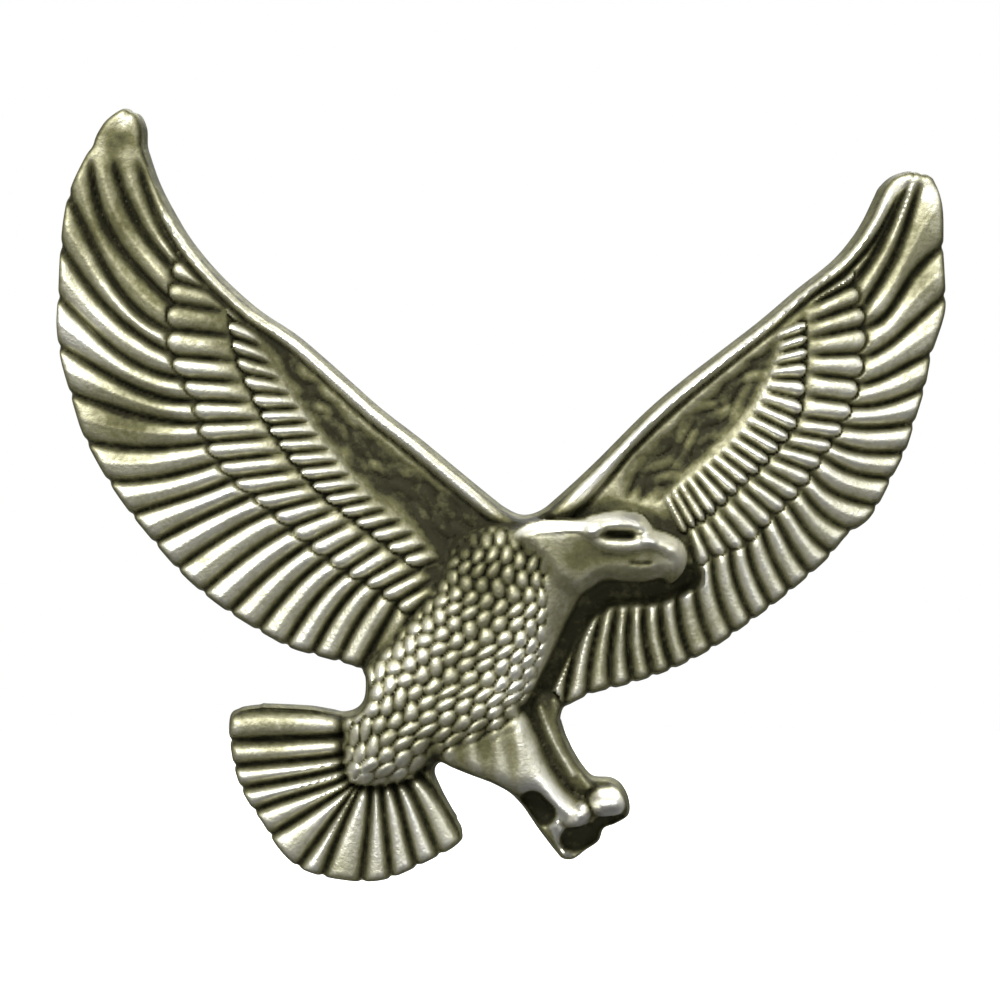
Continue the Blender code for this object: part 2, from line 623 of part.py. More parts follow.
def shell_mesh():
    """Pressed cap of a clutch: a hub with a hole in its roof, a flange, and a rim curled inward."""
    wall = HUB_RADIUS - HUB_BORE
    outer = [
        (TIP_HOLE_RADIUS, HUB_TOP),
        (HUB_RADIUS - RIM_RADIUS, HUB_TOP),
        (HUB_RADIUS - RIM_CORNER, HUB_TOP - RIM_CORNER),
        (HUB_RADIUS, HUB_TOP - RIM_RADIUS),
        (HUB_RADIUS, FLANGE_TOP + PRESS_RADIUS),
        (HUB_RADIUS + PRESS_RADIUS, FLANGE_TOP),
        (SHELL_RADIUS - RIM_RADIUS, FLANGE_TOP),
        (SHELL_RADIUS - RIM_CORNER, FLANGE_TOP - RIM_CORNER),
        (SHELL_RADIUS, FLANGE_TOP / 2),
        (SHELL_RADIUS - RIM_CORNER, RIM_CORNER),
        (SHELL_RADIUS - RIM_RADIUS, 0),
        (PLATE_RADIUS - RIM_LIP, 0),
    ]
    inner = [
        (PLATE_RADIUS - RIM_LIP, PLATE_LOW - SHEET_GAP),
        (PLATE_RADIUS + SHEET_GAP, PLATE_LOW - SHEET_GAP),
        (SHELL_RADIUS - wall, FLANGE_TOP / 2),
        (PLATE_RADIUS + SHEET_GAP, PLATE_HIGH + SHEET_GAP),
        (HUB_BORE + PRESS_RADIUS, PLATE_HIGH + SHEET_GAP),
        (HUB_BORE, PLATE_HIGH + SHEET_GAP + PRESS_RADIUS),
        (HUB_BORE, HUB_TOP - wall - PRESS_RADIUS),
        (HUB_BORE - PRESS_RADIUS, HUB_TOP - wall),
        (TIP_HOLE_RADIUS, HUB_TOP - wall),
    ]
    return revolved_mesh(outer + inner, ROUND_SEGMENTS, True)


def plate_mesh():
    profile = [
        (PLATE_HOLE_RADIUS, PLATE_HIGH),
        (PLATE_HOLE_RADIUS, PLATE_HIGH - PLATE_HOLE_LAND),
        (PLATE_LEAD_RADIUS, PLATE_LOW),
        (PLATE_RADIUS, PLATE_LOW),
        (PLATE_RADIUS, PLATE_HIGH),
    ]
    return revolved_mesh(profile, ROUND_SEGMENTS, True)


def wing_mesh():
    """A strip bent along the wing's side view, with a half-round notch for the post at its jaw."""
    centres = [Vector((x, y)) for x, y, _ in WING_STATIONS]
    half_widths = [half for _, _, half in WING_STATIONS]
    slopes = []
    for i in range(len(centres)):
        along = centres[min(i + 1, len(centres) - 1)] - centres[max(i - 1, 0)]
        slopes.append(Vector((-along.y, along.x)).normalized())
    start = (centres[1] - centres[0]).normalized()
    slopes[0] = Vector((-start.y, start.x))

    mesh = bmesh.new()
    upper = []
    lower = []

    def pair(along, side, across):
        """Adds the upper and lower vertex over one point of the strip."""
        offset = across * (WING_THICKNESS / 2)
        upper.append(mesh.verts.new((along.x + offset.x, along.y + offset.y, side)))
        lower.append(mesh.verts.new((along.x - offset.x, along.y - offset.y, side)))

    loop = [(centres[0], half_widths[0], slopes[0])]
    for k in range(JAW_NOTCH_STEPS + 1):
        angle = math.pi * k / JAW_NOTCH_STEPS
        reach = max(JAW_END, JAW_NOTCH_RADIUS * math.sin(angle))
        at = centres[0] + start * ((reach - JAW_END) / start.x)
        loop.append((at, JAW_NOTCH_RADIUS * math.cos(angle), slopes[0]))
    loop.append((centres[0], -half_widths[0], slopes[0]))
    loop += [(centres[i], -half_widths[i], slopes[i]) for i in range(1, len(centres))]
    loop += [(centres[i], half_widths[i], slopes[i]) for i in range(len(centres) - 1, 0, -1)]
    for along, side, across in loop:
        pair(along, side, across)

    count = len(loop)
    jaw = count - 2 * (len(centres) - 1)
    for verts, turn in ((upper, 1), (lower, -1)):
        jaw_face = verts[:jaw] + [verts[jaw], verts[count - 1]]
        mesh.faces.new(jaw_face[::turn])
        for k in range(len(centres) - 2):
            quad = [verts[jaw + k], verts[jaw + k + 1], verts[count - 2 - k], verts[count - 1 - k]]
            mesh.faces.new(quad[::turn])
    for i in range(count):
        j = (i + 1) % count
        mesh.faces.new((upper[i], lower[i], lower[j], upper[j]))
    bmesh.ops.triangulate(mesh, faces=mesh.faces)
    bmesh.ops.recalc_face_normals(mesh, faces=mesh.faces)
    bmesh.ops.translate(mesh, verts=mesh.verts, vec=(-PIVOT_RADIUS, -PIVOT_HEIGHT, 0))
    return mesh


def spring_curve(name):
    """An open ring of round wire that dips twice, high under each jaw and low between them."""
    curve = bpy.data.curves.new(name, "CURVE")
    curve.dimensions = "3D"
    curve.bevel_depth = SPRING_WIRE_RADIUS * MM
    curve.bevel_resolution = 1
    curve.use_fill_caps = True
    spline = curve.splines.new("POLY")
    spline.points.add(SPRING_STEPS)
    gap = math.radians(SPRING_GAP_DEGREES)
    for k in range(SPRING_STEPS + 1):
        angle = -math.pi / 2 + gap / 2 + (2 * math.pi - gap) * k / SPRING_STEPS
        height = SPRING_LOW + SPRING_WAVE * (1 + math.cos(2 * angle))
        x = SPRING_RADIUS * math.cos(angle)
        z = SPRING_RADIUS * math.sin(angle)
        spline.points[k].co = (x * MM, height * MM, z * MM, 1)
    return curve


def finish(obj, smooth):
    if smooth:
        for polygon in obj.data.polygons:
            polygon.use_smooth = True
        obj.data.set_sharp_from_angle(angle=math.radians(SMOOTH_DEGREES))


def add_object(name, mesh, material, location=(0, 0, 0), rotation=(0, 0, 0), smooth=True):
    """Turns a bmesh in millimetres into an object in metres, with its own copy of the material."""
    bmesh.ops.transform(mesh, matrix=Matrix.Scale(MM, 4), verts=mesh.verts)
    data = bpy.data.meshes.new(name)
    mesh.to_mesh(data)
    mesh.free()
    obj = bpy.data.objects.new(name, data)
    bpy.context.scene.collection.objects.link(obj)
    obj.location = [MM * v for v in location]
    obj.rotation_euler = rotation
    finish(obj, smooth)
    data.materials.append(new_material(name, material))
    return obj


def new_material(name, settings):
    colour, metallic, roughness = settings
    material = bpy.data.materials.new(name)
    material.use_nodes = True
    shader = material.node_tree.nodes["Principled BSDF"]
    shader.inputs["Base Color"].default_value = (*colour, 1)
    shader.inputs["Metallic"].default_value = metallic
    shader.inputs["Roughness"].default_value = roughness
    return material


def cut_windows(shell):
    """Opens the two side windows of a hub, one through each side."""
    bar = bmesh.new()
    bmesh.ops.create_cube(bar, size=1)
    across = 2 * (HUB_RADIUS + WINDOW_CUT_MARGIN)
    size = (across, WINDOW_HIGH - WINDOW_LOW, 2 * WINDOW_HALF_WIDTH)
    bmesh.ops.scale(bar, vec=size, verts=bar.verts)
    data = bpy.data.meshes.new("window_cutter")
    bmesh.ops.transform(bar, matrix=Matrix.Scale(MM, 4), verts=bar.verts)
    bar.to_mesh(data)
    bar.free()
    cutter = bpy.data.objects.new("window_cutter", data)
    bpy.context.scene.collection.objects.link(cutter)
    cutter.parent = shell
    cutter.location = (0, (WINDOW_LOW + WINDOW_HIGH) / 2 * MM, 0)
    cutter.hide_render = True
    cutter.display_type = "WIRE"
    cut = shell.modifiers.new("side_windows", "BOOLEAN")
    cut.operation = "DIFFERENCE"
    cut.solver = "EXACT"
    cut.object = cutter


def add_clutch(side, x):
    """A clutch on the post at x, its pieces parented to the shell."""
    seat = (x, CLUTCH_SEAT, POST_Z)
    shell = add_object(f"clutch_shell_{side}", shell_mesh(), NICKEL, seat)
    cut_windows(shell)
    plate = add_object(f"clutch_base_plate_{side}", plate_mesh(), PLATE_NICKEL)
    plate.parent = shell
    for end, turn in (("outer", 0.0), ("inner", math.pi)):
        facing = turn if x > 0 else math.pi - turn
        reach = PIVOT_RADIUS * math.cos(facing)
        wing = add_object(
            f"clutch_wing_{end}_{side}",
            wing_mesh(),
            WING_NICKEL,
            (reach, PIVOT_HEIGHT, 0),
            (0, facing, 0),
        )
        wing.parent = shell
    name = f"clutch_spring_{side}"
    curve = spring_curve(name)
    spring = bpy.data.objects.new(name, curve)
    bpy.context.scene.collection.objects.link(spring)
    curve.materials.append(new_material(name, SPRING_STEEL))
    spring.parent = shell


def main():
    for obj in list(bpy.data.objects):
        bpy.data.objects.remove(obj, do_unlink=True)
    add_object("eagle_casting", casting_mesh(), PEWTER)
    for side, x in (("left", -POST_X), ("right", POST_X)):
        foot = (x, 0, POST_Z)
        add_object(f"post_{side}", post_mesh(), POST_STEEL, foot)
        add_object(f"solder_ring_{side}", solder_mesh(), SOLDER, foot)
        add_clutch(side, x)


main()
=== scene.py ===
"""Looks of the cap badge: the cast eagle in fine relief, its plated fittings, studio light and camera."""

import math

import bmesh
import bpy
import numpy as np
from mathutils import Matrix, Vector, geometry, kdtree


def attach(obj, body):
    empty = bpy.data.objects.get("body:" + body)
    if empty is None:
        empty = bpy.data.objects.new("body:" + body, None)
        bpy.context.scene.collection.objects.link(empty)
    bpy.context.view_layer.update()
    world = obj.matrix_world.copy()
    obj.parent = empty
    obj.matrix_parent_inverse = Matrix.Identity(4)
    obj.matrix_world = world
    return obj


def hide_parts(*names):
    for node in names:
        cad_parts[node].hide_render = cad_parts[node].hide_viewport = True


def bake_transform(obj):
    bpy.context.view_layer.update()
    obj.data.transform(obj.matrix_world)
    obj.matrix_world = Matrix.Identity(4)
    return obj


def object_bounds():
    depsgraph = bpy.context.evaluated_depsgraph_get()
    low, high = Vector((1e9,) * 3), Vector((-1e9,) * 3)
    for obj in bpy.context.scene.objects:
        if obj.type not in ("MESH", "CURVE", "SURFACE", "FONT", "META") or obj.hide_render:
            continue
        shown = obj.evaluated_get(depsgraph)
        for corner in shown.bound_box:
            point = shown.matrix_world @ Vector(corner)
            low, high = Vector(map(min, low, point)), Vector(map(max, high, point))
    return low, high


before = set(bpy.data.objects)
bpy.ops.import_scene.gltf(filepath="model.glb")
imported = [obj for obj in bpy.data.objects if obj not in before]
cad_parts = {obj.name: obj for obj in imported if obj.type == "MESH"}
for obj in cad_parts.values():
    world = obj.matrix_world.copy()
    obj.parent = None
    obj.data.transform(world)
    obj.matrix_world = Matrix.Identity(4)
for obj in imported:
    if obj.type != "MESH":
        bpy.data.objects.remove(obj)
CAD_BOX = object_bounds()
CAD_LOW, CAD_HIGH = np.array(CAD_BOX)
CAD_MIDDLE = (CAD_LOW + CAD_HIGH) / 2
MM = 0.001

# Lengths below are in millimetres, in the frame's own axes: x across the wings, z up, height toward -Y.
GRID_STEP = 0.11
GRID_MARGIN = 0.6
OUTLINE_STEP = 0.11
SAMPLE_STEP = 0.05

# Edge of the casting: inset and share of the way up, from the back plane to the front
BACK_BEVEL = 0.05
EDGE_HEIGHT = 0.95
WALL_RINGS = ((0.0, 0.06), (0.045, 0.45), (0.1, 0.8), (0.17, 1.0))
TOP_RINGS = (0.26, 0.36, 0.47)
EDGE_ROUND = 0.55
GRID_INSET = 0.56
NOTCH_DEPTH = 0.13

# Points of the CAD's back: parts of a millimetre that tell two apart, and how flat the back is
WELD_PER_MM = 200
BACK_FLAT = 0.01

# Sheet of the wings
SHEET_HEIGHT = 1.3
CROWN_RISE = 0.7
CROWN_REACH = 4.5
WING_CROWNS = (
    ((-17.5, 14.5), (-13.0, 9.0), (-8.0, 3.5), (-3.0, 0.5)),
    ((17.5, 13.5), (15.0, 8.0), (11.0, 4.0)),
)

# Ring springs: the distance within which their points are welded
SPRING_WELD = 0.0005

# Feathers: the rise of each, the depth and width of the groove beside it and how full its profile is,
# then how much one differs from the next
FLIGHT_BARS = (0.36, 0.36, 0.19, 1.9)
COVERT_BARS = (0.3, 0.17, 1.9)
TAIL_BARS = (0.42, 0.4, 0.24, 2.0)
FLIGHT_UNEVEN, COVERT_UNEVEN, TAIL_UNEVEN = 0.2, 0.18, 0.15
SHAFT_RISE, SHAFT_WIDTH = 0.04, 0.1
SMOOTH_TIP_RISE = 0.25
# Lift of each row of coverts over what is below it, and rise of its bars
GREATER_BARS = (0.22, 0.3)
LESSER_BARS = (0.36, 0.28)
TIP_BULGE = 0.22
TIP_STEP = 0.22

# Scales: half sizes of one in its place, then the body's and the hollows'
SCALE_HALF_WIDTH, SCALE_HALF_LENGTH, SCALE_MIDDLE = 0.47, 0.64, 0.8
BODY_LENGTH = 14.0
BODY_SCALE_PITCH = 0.82
BODY_SCALE_RISE, BODY_SCALE_BED = 0.42, 0.3
HOLLOW_SCALE_LENGTH, HOLLOW_SCALE_WIDTH = 1.7, 0.85
HOLLOW_SCALE_RISE, HOLLOW_DEPTH = 0.22, 0.45

# Heights of the raised forms where their shoulders start, and how far each rises from there
EDGE_BASE, EDGE_RISE, EDGE_SET_IN = 1.15, 1.0, 0.16
REAR_LEG_BASE, REAR_LEG_RISE = 1.0, 0.55
LEG_BASE, LEG_RISE = 1.1, 1.7
TORSO_BASE, TORSO_RISE, TORSO_FALL = 1.1, 2.7, 0.5
HEAD_BASE, HEAD_RISE = 1.6, 2.75
CHIN_FLOOR, CHIN_SHADE = 0.7, 1.1

# Stage in metres: the floor's radius and its drop below the badge
FLOOR_RADIUS, FLOOR_DROP = 0.3, 0.016
FLOOR_SPOKES, FLOOR_RINGS = 24, 8

# Camera: width of view at the badge's back plane, and how far its aim is from the CAD's middle
FRAME_WIDTH = 56.3
AIM_OFFSET = (-0.06, -0.27)
LENS, SENSOR_WIDTH = 100, 36
SMOOTH_UNDER = math.radians(50)

# Feather rows. Each entry is one groove between two feathers: its number in the row, then points
# along it from root to tip. Grooves with no entry of their own lie between their neighbours.
LEFT_FLIGHT = [
    (0, (-17.8, 18.7), (-19.2, 21.0), (-20.1, 23.6), (-20.6, 26.6)),
    (1, (-18.1, 17.9), (-19.8, 19.9), (-21.1, 22.4), (-21.7, 25.6)),
    (2, (-18.2, 16.0), (-20.4, 18.2), (-22.1, 20.7), (-22.9, 24.2)),
    (3, (-18.2, 14.5), (-20.6, 16.1), (-22.4, 18.7), (-24.1, 22.1)),
    (4, (-18.1, 13.2), (-20.5, 14.6), (-22.5, 16.5), (-24.6, 19.4)),
    (5, (-17.5, 11.9), (-20.0, 12.6), (-22.2, 14.1), (-24.8, 16.6)),
    (6, (-16.9, 10.7), (-19.4, 11.0), (-21.8, 12.1), (-24.9, 13.9)),
    (7, (-16.5, 9.5), (-18.9, 9.6), (-21.4, 10.2), (-24.2, 11.2)),
    (8, (-16.2, 8.4), (-18.6, 8.1), (-21.0, 8.1), (-23.5, 8.6)),
    (9, (-15.7, 7.3), (-17.8, 6.7), (-20.0, 6.3), (-22.3, 6.3)),
    (10, (-14.8, 6.4), (-16.8, 5.6), (-18.7, 5.0), (-20.9, 4.3)),
    (12, (-12.6, 4.6), (-14.5, 3.7), (-16.3, 2.6), (-18.2, 1.3)),
    (14, (-10.6, 2.8), (-12.2, 1.7), (-13.7, 0.4), (-15.3, -1.2)),
    (16, (-8.5, 1.3), (-9.8, 0.2), (-11.0, -1.3), (-12.2, -3.2)),
    (18, (-6.6, 0.2), (-7.4, -0.8), (-8.3, -2.2), (-9.2, -4.1)),
    (20, (-4.9, -1.2), (-5.3, -2.4), (-5.9, -3.7), (-6.8, -5.0)),
]
LEFT_GREATER = [
    (0, (-15.9, 17.6), (-18.0, 18.6)),
    (2, (-15.1, 15.6), (-18.3, 16.1)),
    (4, (-14.5, 12.9), (-18.2, 13.2)),
    (6, (-13.6, 10.6), (-17.0, 10.7)),
    (8, (-12.5, 8.7), (-16.3, 8.4)),
    (10, (-11.1, 6.9), (-14.9, 6.4)),
    (12, (-9.7, 5.4), (-12.7, 4.6)),
    (14, (-8.1, 4.1), (-10.7, 2.8)),
    (16, (-6.3, 2.8), (-8.6, 1.3)),
    (18, (-4.4, 1.4), (-6.7, 0.2)),
    (20, (-3.0, 0.2), (-5.0, -1.2)),
]
LEFT_LESSER = [
    (0, (-14.2, 15.8), (-15.2, 16.2)),
    (3, (-12.5, 12.6), (-14.6, 13.2)),
    (6, (-11.0, 10.3), (-13.3, 10.2)),
    (9, (-9.3, 8.0), (-11.8, 7.8)),
    (12, (-7.6, 5.9), (-9.8, 5.5)),
    (15, (-5.3, 4.1), (-7.3, 3.5)),
    (18, (-3.2, 1.9), (-4.6, 1.4)),
]
RIGHT_FLIGHT = [
    (0, (19.6, 17.2), (20.9, 19.0), (21.8, 20.8), (22.8, 22.9)),
    (1, (20.2, 15.9), (21.5, 17.9), (22.4, 19.8), (23.4, 22.9)),
    (2, (20.3, 14.8), (21.8, 15.9), (23.0, 17.7), (25.1, 19.6)),
    (3, (20.2, 13.1), (21.7, 13.9), (23.1, 15.1), (25.2, 16.9)),
    (4, (19.9, 11.6), (21.3, 12.0), (22.7, 12.7), (24.6, 13.6)),
    (5, (19.5, 10.4), (21.0, 10.5), (22.4, 10.9), (24.0, 11.6)),
    (6, (19.1, 9.3), (20.5, 9.2), (22.0, 9.3), (23.6, 9.6)),
    (7, (18.4, 8.4), (20.0, 7.9), (21.5, 7.8), (23.1, 7.9)),
    (8, (17.8, 7.7), (19.1, 6.9), (20.5, 6.5), (22.3, 6.4)),
    (9, (17.2, 6.8), (18.2, 5.8), (19.5, 5.2), (21.4, 4.8)),
    (10, (16.6, 5.9), (17.5, 4.8), (18.6, 3.9), (20.2, 3.4)),
    (12, (15.1, 4.5), (15.8, 3.3), (16.5, 2.1), (17.5, 0.9)),
    (14, (13.7, 3.1), (13.9, 1.9), (14.4, 0.6), (15.2, -0.9)),
    (16, (11.8, 2.2), (11.9, 0.8), (12.3, -0.7), (13.1, -2.4)),
    (18, (9.8, 0.3), (9.9, -1.1), (10.2, -2.5), (10.8, -4.0)),
    (20, (8.0, -0.8), (8.0, -2.1), (8.2, -3.4), (8.6, -4.9)),
    (22, (6.4, -1.1), (6.2, -2.6), (6.1, -4.0), (6.2, -5.6)),
    (24, (4.8, -1.4), (4.2, -3.1), (3.8, -4.8), (3.5, -6.6)),
]
RIGHT_GREATER = [
    (0, (16.9, 15.8), (19.6, 17.2)),
    (2, (16.9, 14.1), (20.1, 14.8)),
    (4, (16.9, 12.2), (19.8, 11.9)),
    (6, (16.5, 9.8), (19.0, 9.5)),
    (8, (15.5, 8.3), (17.8, 7.7)),
    (10, (14.4, 7.1), (16.6, 5.9)),
    (12, (13.2, 6.1), (15.1, 4.4)),
    (14, (12.0, 4.9), (13.6, 2.9)),
    (16, (10.8, 4.0), (11.7, 2.1)),
    (18, (9.9, 3.0), (10.0, 1.0)),
]
RIGHT_LESSER = [
    (0, (15.3, 14.6), (16.8, 15.2)),
    (3, (15.0, 12.6), (16.8, 12.9)),
    (6, (14.2, 10.7), (16.4, 9.8)),
    (9, (13.0, 8.9), (14.9, 7.7)),
    (12, (11.5, 7.5), (13.2, 6.0)),
    (15, (10.1, 6.4), (11.4, 4.4)),
    (18, (8.8, 5.6), (9.9, 3.4)),
]
TAIL = [
    (0, (-8.4, -6.8), (-10.6, -6.6), (-12.9, -6.5), (-15.3, -6.6)),
    (1, (-8.5, -8.0), (-10.7, -8.1), (-12.9, -8.2), (-15.3, -8.3)),
    (2, (-8.5, -9.0), (-10.6, -9.3), (-12.8, -9.5), (-15.1, -9.7)),
    (3, (-8.5, -9.7), (-10.5, -10.2), (-12.6, -10.6), (-14.8, -11.0)),
    (4, (-8.5, -10.3), (-10.3, -11.0), (-12.2, -11.6), (-14.2, -12.4)),
    (5, (-8.4, -10.8), (-10.0, -11.8), (-11.6, -12.8), (-13.3, -13.8)),
    (6, (-8.2, -11.0), (-9.3, -12.5), (-10.3, -13.9), (-11.5, -15.5)),
    (7, (-7.9, -11.0), (-8.7, -12.7), (-9.4, -14.4), (-10.1, -16.2)),
    (8, (-7.3, -11.0), (-7.4, -12.7), (-7.6, -14.5), (-7.8, -16.4)),
    (9, (-6.7, -10.9), (-6.5, -12.6), (-6.3, -14.4), (-6.1, -16.3)),
    (10, (-6.0, -10.8), (-5.5, -12.4), (-5.1, -14.0), (-4.6, -15.6)),
    (11, (-5.3, -10.6), (-4.6, -11.9), (-4.0, -13.3), (-3.3, -14.9)),
    (12, (-4.5, -10.2), (-3.6, -11.3), (-2.8, -12.5), (-2.1, -13.6)),
]
# Lines down the body that its scale feathers follow, from the neck to the tail
BODY = [
    (0, (-2.4, 3.4), (-4.0, 0.1), (-6.2, -3.0), (-8.9, -6.8)),
    (3.2, (-0.2, 3.8), (-1.5, -1.1), (-4.3, -5.3), (-7.6, -9.4)),
    (6.4, (2.0, 3.4), (1.3, -1.7), (-1.4, -6.0), (-5.2, -10.6)),
    (9.6, (3.6, 2.0), (3.3, -2.4), (1.3, -6.4), (-2.4, -10.4)),
]
# Outlines of the raised forms, and of the part of the torso that has scales
TORSO_SHAPE = [
    (-2.6, 3.0), (-0.8, 3.9), (1.2, 3.9), (3.2, 3.6), (4.8, 2.4), (5.0, 0.8), (4.3, -0.6), (3.6, -1.9),
    (3.0, -3.2), (2.3, -4.6), (1.7, -5.8), (0.9, -6.8), (-0.6, -7.8), (-2.2, -8.4), (-3.4, -8.9),
    (-4.2, -9.7), (-5.6, -10.6), (-8.4, -10.6), (-8.8, -8.0), (-8.7, -6.2), (-7.9, -4.6), (-6.4, -2.9),
    (-5.0, -1.2), (-3.7, 0.6), (-3.1, 2.0),
]
SCALED_SHAPE = [
    (-2.6, 3.0), (-0.8, 3.7), (0.9, 3.5), (2.2, 3.0), (2.6, 1.4), (2.55, -1.0), (2.5, -3.0), (2.0, -4.8),
    (1.7, -6.4), (0.9, -7.7), (-0.7, -8.6), (-2.2, -8.9), (-3.9, -9.6), (-5.6, -10.4), (-8.3, -10.5),
    (-8.7, -8.0), (-8.6, -6.2), (-7.8, -4.6), (-6.3, -2.9), (-4.9, -1.2), (-3.6, 0.6), (-3.0, 2.0),
]
HEAD_SHAPE = [
    (0.6, 3.2), (1.5, 3.9), (2.9, 4.1), (4.3, 4.15), (5.1, 4.4), (6.5, 4.6), (7.8, 4.4), (8.5, 3.7),
    (9.3, 3.35), (10.05, 2.9), (10.4, 2.1), (10.2, 1.2), (9.5, 0.5), (8.9, 0.75), (8.0, 0.6),
    (6.8, 0.6), (5.8, 0.65), (5.0, 0.2), (4.2, -0.2), (3.0, 0.4), (2.2, 1.4), (1.2, 2.4),
]
THIGH_SHAPE = [
    (-3.9, -8.2), (-2.6, -6.4), (-0.6, -5.6), (1.2, -6.4), (2.0, -7.8), (2.6, -9.3), (3.6, -10.9),
    (4.7, -11.8), (4.9, -12.9), (4.0, -13.3), (2.9, -12.6), (1.7, -11.4), (0.3, -11.1), (-1.7, -10.4),
    (-3.3, -9.6),
]
REAR_LEG_SHAPE = [
    (2.0, -5.6), (3.1, -5.6), (3.7, -7.2), (4.3, -9.0), (5.4, -10.6), (4.9, -11.4), (3.9, -11.0),
    (3.0, -9.8), (2.2, -8.2), (1.6, -6.8),
]
# Sunk areas below the leading edges
LEFT_HOLLOW = [
    (-14.6, 16.4), (-12.7, 14.4), (-9.7, 11.2), (-6.2, 8.0), (-2.8, 5.4), (-0.6, 3.2),
    (-2.6, 2.1), (-5.4, 4.6), (-7.8, 6.5), (-9.8, 8.8), (-11.4, 11.2), (-13.2, 14.6),
]
RIGHT_HOLLOW = [
    (15.3, 14.0), (12.2, 11.7), (9.6, 9.2), (7.4, 7.2), (6.9, 5.5), (8.8, 5.2),
    (10.2, 6.7), (11.8, 8.0), (13.2, 9.6), (14.4, 11.4),
]
# Each leading edge: its line from the tip to the body, and half the width of its bead along it
LEFT_EDGE = [
    (-18.6, 21.9), (-17.3, 19.7), (-15.7, 17.8), (-13.6, 15.9), (-11.5, 14.5), (-9.6, 12.9),
    (-6.8, 10.4), (-4.6, 8.7), (-2.9, 7.3), (-1.2, 5.9), (0.2, 4.8),
]
LEFT_EDGE_WIDTH = ((0.0, 0.3), (0.2, 0.4), (0.7, 0.42), (1.0, 0.5))
RIGHT_EDGE = [
    (21.6, 23.1), (20.7, 21.6), (20.0, 20.3), (18.7, 18.7), (16.6, 17.0), (14.6, 15.3), (12.4, 13.6),
    (10.2, 11.9), (8.1, 10.1), (5.5, 7.5), (3.8, 5.9),
]
RIGHT_EDGE_WIDTH = ((0.0, 0.45), (0.3, 0.33), (0.85, 0.4), (1.0, 0.6))
# Dark hollow behind the beak and breast, from the beak down, and its reach along it
CHIN_HOLLOW = (
    (10.5, 0.9), (8.8, 0.2), (7.2, 0.1), (5.9, 0.0), (4.8, -0.8), (4.0, -2.1), (3.3, -3.5), (2.5, -5.1),
)
CHIN_REACH = ((0, 0.5, 0.7, 1), (0.95, 1.1, 0.8, 0.65))
# Heights between which the feathers fade into the smooth tip of each wing
TIP_CAPS = ((24.4, 23.0), (23.1, 22.1))
# Broad painted highlights and painted shade, in place of the light the metal's broad curves would catch: x,
# z, reach and amount, positive for a painted highlight, negative for painted shade
PAINTED_LIGHT_AND_SHADE = (
    (-21.6, 20.8, 3.2, -1.05), (-19.3, 16.2, 2.4, -0.6), (-16.3, 15.6, 1.9, -0.6), (-21.3, 25.2, 1.5, -0.7),
    (-22.3, 24.6, 0.5, 0.6), (-20.8, 24.5, 0.55, 0.5), (-21.0, 26.2, 0.5, 0.7),
    (-23.6, 14.6, 1.6, 0.5), (-20.4, 9.9, 2.3, -0.9), (-15.0, 3.0, 4.0, 0.15),
    (-13.6, 13.0, 2.4, -0.4), (-5.4, 5.2, 2.9, -0.5), (-11.0, 7.5, 2.6, -0.2),
    (21.8, 19.0, 2.9, -0.7), (18.6, 15.6, 2.4, -0.45), (22.5, 22.6, 0.6, 0.7), (24.0, 22.2, 0.6, 0.7),
    (8.0, -3.0, 4.2, -0.65), (20.0, 8.0, 3.0, 0.15), (5.2, 5.8, 0.8, 0.9), (7.4, 5.3, 1.2, 0.6),
    (9.5, 7.5, 3.0, -0.2),
    (-1.2, 1.4, 2.6, -0.7), (1.2, -5.0, 2.4, 0.35), (-6.5, -8.0, 2.6, -0.5), (3.7, -1.6, 1.2, -0.6),
    (-2.0, -9.6, 1.6, -0.25), (-1.8, -3.4, 3.2, -0.25), (-1.6, 2.4, 2.6, -0.4),
    (6.0, 1.9, 1.7, -0.3), (7.9, 3.4, 0.9, 0.3),
    (2.4, -6.0, 0.8, -0.9), (3.4, -4.6, 0.8, -0.6), (-13.2, -7.6, 2.3, -0.6), (-8.6, -15.8, 1.3, -0.4),
)
# Tendons of the legs: path, width and rise
LEG_TENDONS = (
    (((2.2, -6.4), (2.9, -8.2), (4.0, -10.1)), 0.2, 0.35),
    (((3.0, -6.0), (3.5, -7.8), (4.4, -9.8), (4.9, -10.8)), 0.18, 0.3),
    (((1.0, -7.4), (2.2, -9.3), (3.2, -11.2), (3.9, -12.2)), 0.5, 0.35),
)
# Rounded forms of the feet: ends of the centre line, radius at each end, height at each end
FOOT_FORMS = (
    ((4.4, -12.2), (4.2, -12.5), 0.75, 0.7, 3.4, 3.3),
    ((5.7, -11.65), (6.2, -11.6), 0.95, 0.95, 3.4, 3.4),
    ((3.0, -12.6), (3.7, -14.4), 0.6, 0.55, 2.5, 1.9),
)
# Hollows in the feet: ends of the centre line, reach and height of the floor
FOOT_RECESSES = (
    ((1.8, -11.7), (2.4, -12.3), 0.85, 0.45),
    ((4.0, -13.8), (5.0, -13.6), 0.9, 0.45),
    ((5.6, -12.9), (6.7, -12.8), 0.5, 0.6),
)
